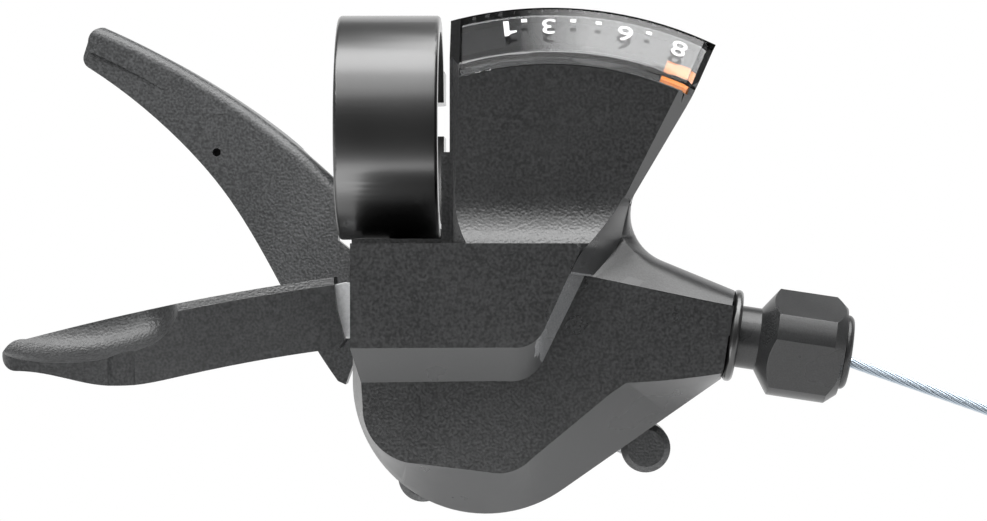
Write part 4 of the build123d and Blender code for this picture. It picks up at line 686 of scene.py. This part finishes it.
def laid_cable():
    """Recipe of strands laid round a core on the open run, and one round tube with grooves in the coil."""
    laid = Recipe("laid_cable", {"Cable Radius": "Float", "Strand Radius": "Float", "Lay Length": "Float",
                                 "Strand Count": "Int", "Open Run": "Float", "Strand Wire": "Material",
                                 "Coil Wire": "Material"})
    given = laid.given
    centre = laid.add("GeometryNodeMeshToCurve", {"Mesh": given["Geometry"]})[0]
    cut = laid.add("GeometryNodeTrimCurve", {"Curve": centre, TRIM_START: 0.0, TRIM_END: given["Open Run"]},
                   mode="LENGTH")[0]
    run = laid.add("GeometryNodeResampleCurve", {"Curve": cut, "Length": RUN_STEP}, mode="LENGTH")[0]
    coil = laid.add("GeometryNodeTrimCurve", {"Curve": centre, TRIM_START: given["Open Run"],
                                              TRIM_END: PAST_END}, mode="LENGTH")[0]
    core = laid.math("SUBTRACT", given["Cable Radius"], given["Strand Radius"])
    copies = laid.add("GeometryNodeDuplicateElements", {"Geometry": run, "Amount": given["Strand Count"]},
                      domain="SPLINE")
    along = laid.add("GeometryNodeSplineParameter")["Length"]
    turned = laid.math("MULTIPLY", laid.math("DIVIDE", along, given["Lay Length"]), 2 * pi)
    apart = laid.math("DIVIDE", laid.math("MULTIPLY", copies["Duplicate Index"], 2 * pi),
                      given["Strand Count"])
    angle = laid.math("ADD", turned, apart)
    normal = laid.add("GeometryNodeInputNormal")["Normal"]
    sideways = laid.vector("CROSS_PRODUCT", laid.add("GeometryNodeInputTangent")[0], normal)
    spoke = laid.vector("ADD", laid.vector("SCALE", normal, laid.math("COSINE", angle)),
                        laid.vector("SCALE", sideways, laid.math("SINE", angle)))
    strands = laid.add("GeometryNodeSetPosition", {"Geometry": copies["Geometry"],
                                                   "Offset": laid.vector("SCALE", spoke, core)})[0]
    laid.end((swept(laid, strands, given["Strand Radius"], STRAND_SIDES), given["Strand Wire"]),
             (swept(laid, run, core, TUBE_SIDES), given["Strand Wire"]),
             (swept(laid, coil, given["Cable Radius"], TUBE_SIDES), given["Coil Wire"]))
    return laid


path = cable_path()
centre_mesh = bpy.data.meshes.new("cable_centre")
centre_mesh.from_pydata(path, [(k, k + 1) for k in range(len(path) - 1)], [])
cable_radius = CABLE_D * MM / 2
cable_mesh = laid_cable().make("free_cable", centre_mesh, {
    "Cable Radius": cable_radius, "Strand Radius": cable_radius * pi / (STRANDS + pi), "Lay Length": LAY,
    "Strand Count": STRANDS, "Open Run": OPEN_RUN, "Strand Wire": strand_wire, "Coil Wire": cable_wire})
free_cable = piece_from("free_cable", cable_mesh, "housing")
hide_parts("cable_run", "cable_coil")


# ---- Print on the sloping face of the lens, readable from the rider's side ----

LENS_SLANT = hypot(LENS_TOP_R - LENS_R, LENS_D - LENS_TOP_D)
SLANT_R = (LENS_TOP_R - LENS_R) / LENS_SLANT
SLANT_D = (LENS_TOP_D - LENS_D) / LENS_SLANT
PRINT_LIFT, PRINT_R = 0.03, 40.5
FIRST_GUESS, GUESSES, GUESS_GAIN = (radians(85), 4.0), 30, 0.6
NUMERAL_HEIGHT = 2.75
GLYPH_SIZE, GLYPH_BOLD = 1.38, 0.012
MARK_WIDTH, MARK_HEIGHT = 0.66, 0.62
NUMERALS = (("1", 506.6, 28.7), ("3", 548.7, 26.4), ("6", 624.9, 33.8), ("8", 678.9, 49.0))
MARKS = ((524.1, 20.7), (573.2, 20.9), (598.7, 23.3), (649.0, 33.3))
# The numeral 1: an upright stroke with a slanting flag at its top left, as shares of its height
NUMERAL_ONE = [(-0.11, -0.5), (0.11, -0.5), (0.11, 0.5), (-0.05, 0.5), (-0.15, 0.38), (-0.40, 0.29),
               (-0.40, 0.18), (-0.11, 0.17)]


def on_lens(angle, rise):
    """Point on the lens at an angle about the pointer pivot, rise millimetres up its slope."""
    r = LENS_R + rise * SLANT_R - PRINT_LIFT * SLANT_D
    d = LENS_D + rise * SLANT_D + PRINT_LIFT * SLANT_R
    return at(POINTER_PIVOT[0] + r * cos(angle), POINTER_PIVOT[1] + r * sin(angle), d)


def lens_place(px, py):
    """Angle in degrees and rise on the lens slope that the camera sees at a pixel of the picture."""
    angle, rise = FIRST_GUESS
    for _ in range(GUESSES):
        p = on_lens(angle, rise)
        x, z, d = p.x / MM, p.z / MM, -p.y / MM
        k = MM_PER_PIXEL * (CAMERA_D - d) / CAMERA_D
        want = from_pivot(AIM[0] + (px - PICTURE_MIDDLE[0]) * k + SIGHT_LEAN * d,
                          AIM[1] + (PICTURE_MIDDLE[1] - py) * k)
        angle = atan2(want[1], want[0])
        rise += GUESS_GAIN * (hypot(*want) - hypot(*from_pivot(x, z))) / SLANT_R
    return degrees(angle), rise


def glyph(sign, height):
    """Flat outline of a numeral, centred."""
    if sign == "1":
        mesh = bpy.data.meshes.new("numeral_one")
        mesh.from_pydata([(x * height, y * height, 0) for x, y in NUMERAL_ONE], [],
                         [tuple(range(len(NUMERAL_ONE)))])
        return mesh
    curve = bpy.data.curves.new("glyph", "FONT")
    curve.body = sign
    curve.size = height * GLYPH_SIZE
    curve.offset = GLYPH_BOLD * height
    curve.fill_mode = "FRONT"
    curve.dimensions = "2D"
    obj = put("glyph", curve)
    bpy.context.view_layer.update()
    mesh = bpy.data.meshes.new_from_object(obj)
    bpy.data.objects.remove(obj)
    xs, ys = [v.co.x for v in mesh.vertices], [v.co.y for v in mesh.vertices]
    for v in mesh.vertices:
        v.co.x -= (min(xs) + max(xs)) / 2
        v.co.y = (v.co.y - (min(ys) + max(ys)) / 2) * height / (max(ys) - min(ys))
    return mesh


def printed(name, flats):
    """Flat outlines (mesh, angle, rise) laid on the lens, upside down for the viewer."""
    bm = bmesh.new()
    for mesh, angle, rise in flats:
        first = len(bm.verts)
        bm.from_mesh(mesh)
        bm.verts.ensure_lookup_table()
        for v in bm.verts[first:]:
            v.co = on_lens(radians(angle) + v.co.x / PRINT_R, rise - v.co.y)
    bm.normal_update()
    for face in bm.faces:
        if face.normal.y > 0:
            face.normal_flip()
    made = bpy.data.meshes.new(name)
    bm.to_mesh(made)
    bm.free()
    return made


def lens_dots():
    """Recipe of square marks that lie on the lens at the given points."""
    dotted = Recipe("lens_dots", {"Mark Width": "Float", "Mark Height": "Float", "Lens Tilt": "Float",
                                  "Pivot": "Vector", "Ink": "Material"})
    given = dotted.given
    square = dotted.add("GeometryNodeMeshGrid", {
        "Size X": given["Mark Width"], "Size Y": given["Mark Height"], "Vertices X": 4, "Vertices Y": 2})[0]
    spoke = dotted.vector("SUBTRACT", dotted.add("GeometryNodeInputPosition")[0], given["Pivot"])
    ray = dotted.vector("NORMALIZE", dotted.vector("MULTIPLY", spoke, (1, 0, 1)))
    facing = dotted.vector("ADD", dotted.vector("SCALE", ray, dotted.math("SINE", given["Lens Tilt"])),
                           dotted.vector("SCALE", (0, -1, 0), dotted.math("COSINE", given["Lens Tilt"])))
    around = dotted.vector("CROSS_PRODUCT", (0, -1, 0), ray)
    turn = dotted.add("FunctionNodeAxesToRotation", {"Primary Axis": facing, "Secondary Axis": around},
                      primary_axis="Z", secondary_axis="X")[0]
    dots = dotted.add("GeometryNodeInstanceOnPoints", {"Points": given["Geometry"], "Instance": square,
                                                       "Rotation": turn})[0]
    dotted.end((dots, given["Ink"]))
    return dotted


flats = [(glyph(sign, NUMERAL_HEIGHT), *lens_place(px, py)) for sign, px, py in NUMERALS]
gear_numerals = piece_from("gear_numerals", printed("gear_numerals", flats), "housing")
gear_numerals.data.materials.append(numeral_white)
mark_mesh = bpy.data.meshes.new("dot_places")
marks = [lens_place(px, py) for px, py in MARKS]
mark_mesh.from_pydata([on_lens(radians(angle), rise) for angle, rise in marks], [], [])
gear_dots = lens_dots().make("gear_dots", mark_mesh, {
    "Mark Width": MARK_WIDTH * MM, "Mark Height": MARK_HEIGHT * MM, "Lens Tilt": atan2(-SLANT_D, SLANT_R),
    "Pivot": at(*POINTER_PIVOT, 0), "Ink": numeral_white})
piece_from("gear_dots", gear_dots, "housing")


# ---- Stage: a pale floor that keeps the shadow, soft light, white surround ----

FLOOR_DROP = 0.004
FLOOR_FRONT, FLOOR_BACK, FLOOR_SIDE = -0.1, 3, 3
FLOOR_TONE = 0.92
# Share of white in what is seen of the floor, near the object and far from it
WHITE_NEAR, WHITE_FAR = 0.9, 1.0
NEAR, FAR = 0.10, 0.35
floor_z = cad_box[0].z - FLOOR_DROP
corners = [(-FLOOR_SIDE, FLOOR_FRONT, floor_z), (FLOOR_SIDE, FLOOR_FRONT, floor_z),
           (FLOOR_SIDE, FLOOR_BACK, floor_z), (-FLOOR_SIDE, FLOOR_BACK, floor_z)]
floor_mesh = bpy.data.meshes.new("floor")
floor_mesh.from_pydata(corners, [], [(0, 1, 2, 3)])
floor = put("floor", floor_mesh)
paint = Finish("floor_paint")
paint.set(Base_Color=(*grey(FLOOR_TONE), 1), Roughness=0.9)
floor_ray = paint.add("ShaderNodeLightPath")
seen = paint.math("MAXIMUM", paint.math("MAXIMUM", floor_ray["Is Camera Ray"], floor_ray["Is Glossy Ray"]),
                  floor_ray["Is Transmission Ray"])
distance = paint.add("ShaderNodeVectorMath", {0: paint.place}, operation="LENGTH")["Value"]
share = paint.math("MULTIPLY", seen, paint.spread(distance, WHITE_NEAR, WHITE_FAR, NEAR, FAR))
blended = paint.add("ShaderNodeMixShader", {"Fac": share, 1: paint.shader.outputs["BSDF"],
                                            2: paint.add("ShaderNodeEmission")["Emission"]})["Shader"]
paint.fill(paint.tree.nodes["Material Output"], {"Surface": blended})
floor_mesh.materials.append(paint.material)


def softbox(name, place, aim, size, radiance):
    """Area light of an even brightness, given as its radiance."""
    light = bpy.data.lights.new(name, "AREA")
    light.shape = "RECTANGLE"
    light.size, light.size_y = size
    light.energy = radiance * pi * size[0] * size[1]
    obj = put(name, light)
    obj.location = place
    obj.rotation_euler = turned_to(place, aim)


# Overhead boxes, one above another and each wider than the last, so that their light ends softly on the left
OVERHEAD_BOXES, OVERHEAD_Z, OVERHEAD_LIFT = 8, 0.56, 0.002
OVERHEAD_RIGHT, OVERHEAD_Y = 0.58, 0.075
OVERHEAD_WIDTH, OVERHEAD_WIDER, OVERHEAD_DEEP = 0.50, 0.016, 0.25
for k in range(OVERHEAD_BOXES):
    width = OVERHEAD_WIDTH + OVERHEAD_WIDER * k
    middle = (OVERHEAD_RIGHT - width / 2, OVERHEAD_Y)
    softbox("overhead_right_%d" % k, (*middle, OVERHEAD_Z + OVERHEAD_LIFT * k), (*middle, 0.0),
            size=(width, OVERHEAD_DEEP), radiance=0.52)
softbox("overhead_front", (-0.05, -0.20, OVERHEAD_Z), (-0.05, -0.20, 0.0), size=(1.10, 0.34), radiance=5.4)
softbox("floor_card", (-0.03, -0.065, floor_z + 0.002), (-0.03, -0.065, 1.0), size=(0.10, 0.07), radiance=2.0)
softbox("front_top", (0.0, -0.64, 0.60), (0.0, 0.0, -0.01), size=(1.20, 0.36), radiance=1.9)

# Surround: white behind the object, darker towards the camera's side, overhead and below
SURROUND_TONES = [(0.0, 0.10), (0.50, 0.15), (0.65, 0.20), (0.71, 1.0)]
WHITE_FROM = 0.42
STEEPNESS = 0.6
world = bpy.data.worlds.new("surround")
scene.world = world
world.use_nodes = True
room = Wiring(world.node_tree)
way = room.add("ShaderNodeSeparateXYZ", {"Vector": room.add("ShaderNodeTexCoord")["Generated"]})
back = room.math("MULTIPLY_ADD", room.math("ABSOLUTE", way["Z"]), -STEEPNESS, way["Y"])
studio = room.tree.nodes["Background"]
stops = [(place, grey(tone)) for place, tone in SURROUND_TONES]
room.fill(studio, {"Color": room.ramp(room.spread(back, 0.0, 1.0, -1.0, 1.0), stops), "Strength": 1.0})
white = room.add("ShaderNodeBackground", {"Color": (1, 1, 1, 1), "Strength": 1.0})["Background"]
room_ray = room.add("ShaderNodeLightPath")
mirrored = room.math("MULTIPLY", room.math("GREATER_THAN", back, WHITE_FROM), room_ray["Is Glossy Ray"])
plain = room.math("MAXIMUM", room_ray["Is Camera Ray"],
                  room.math("MAXIMUM", mirrored, room_ray["Is Transmission Ray"]))
shown = room.add("ShaderNodeMixShader", {"Fac": plain, 1: studio.outputs["Background"], 2: white})["Shader"]
room.fill(room.tree.nodes["World Output"], {"Surface": shown})
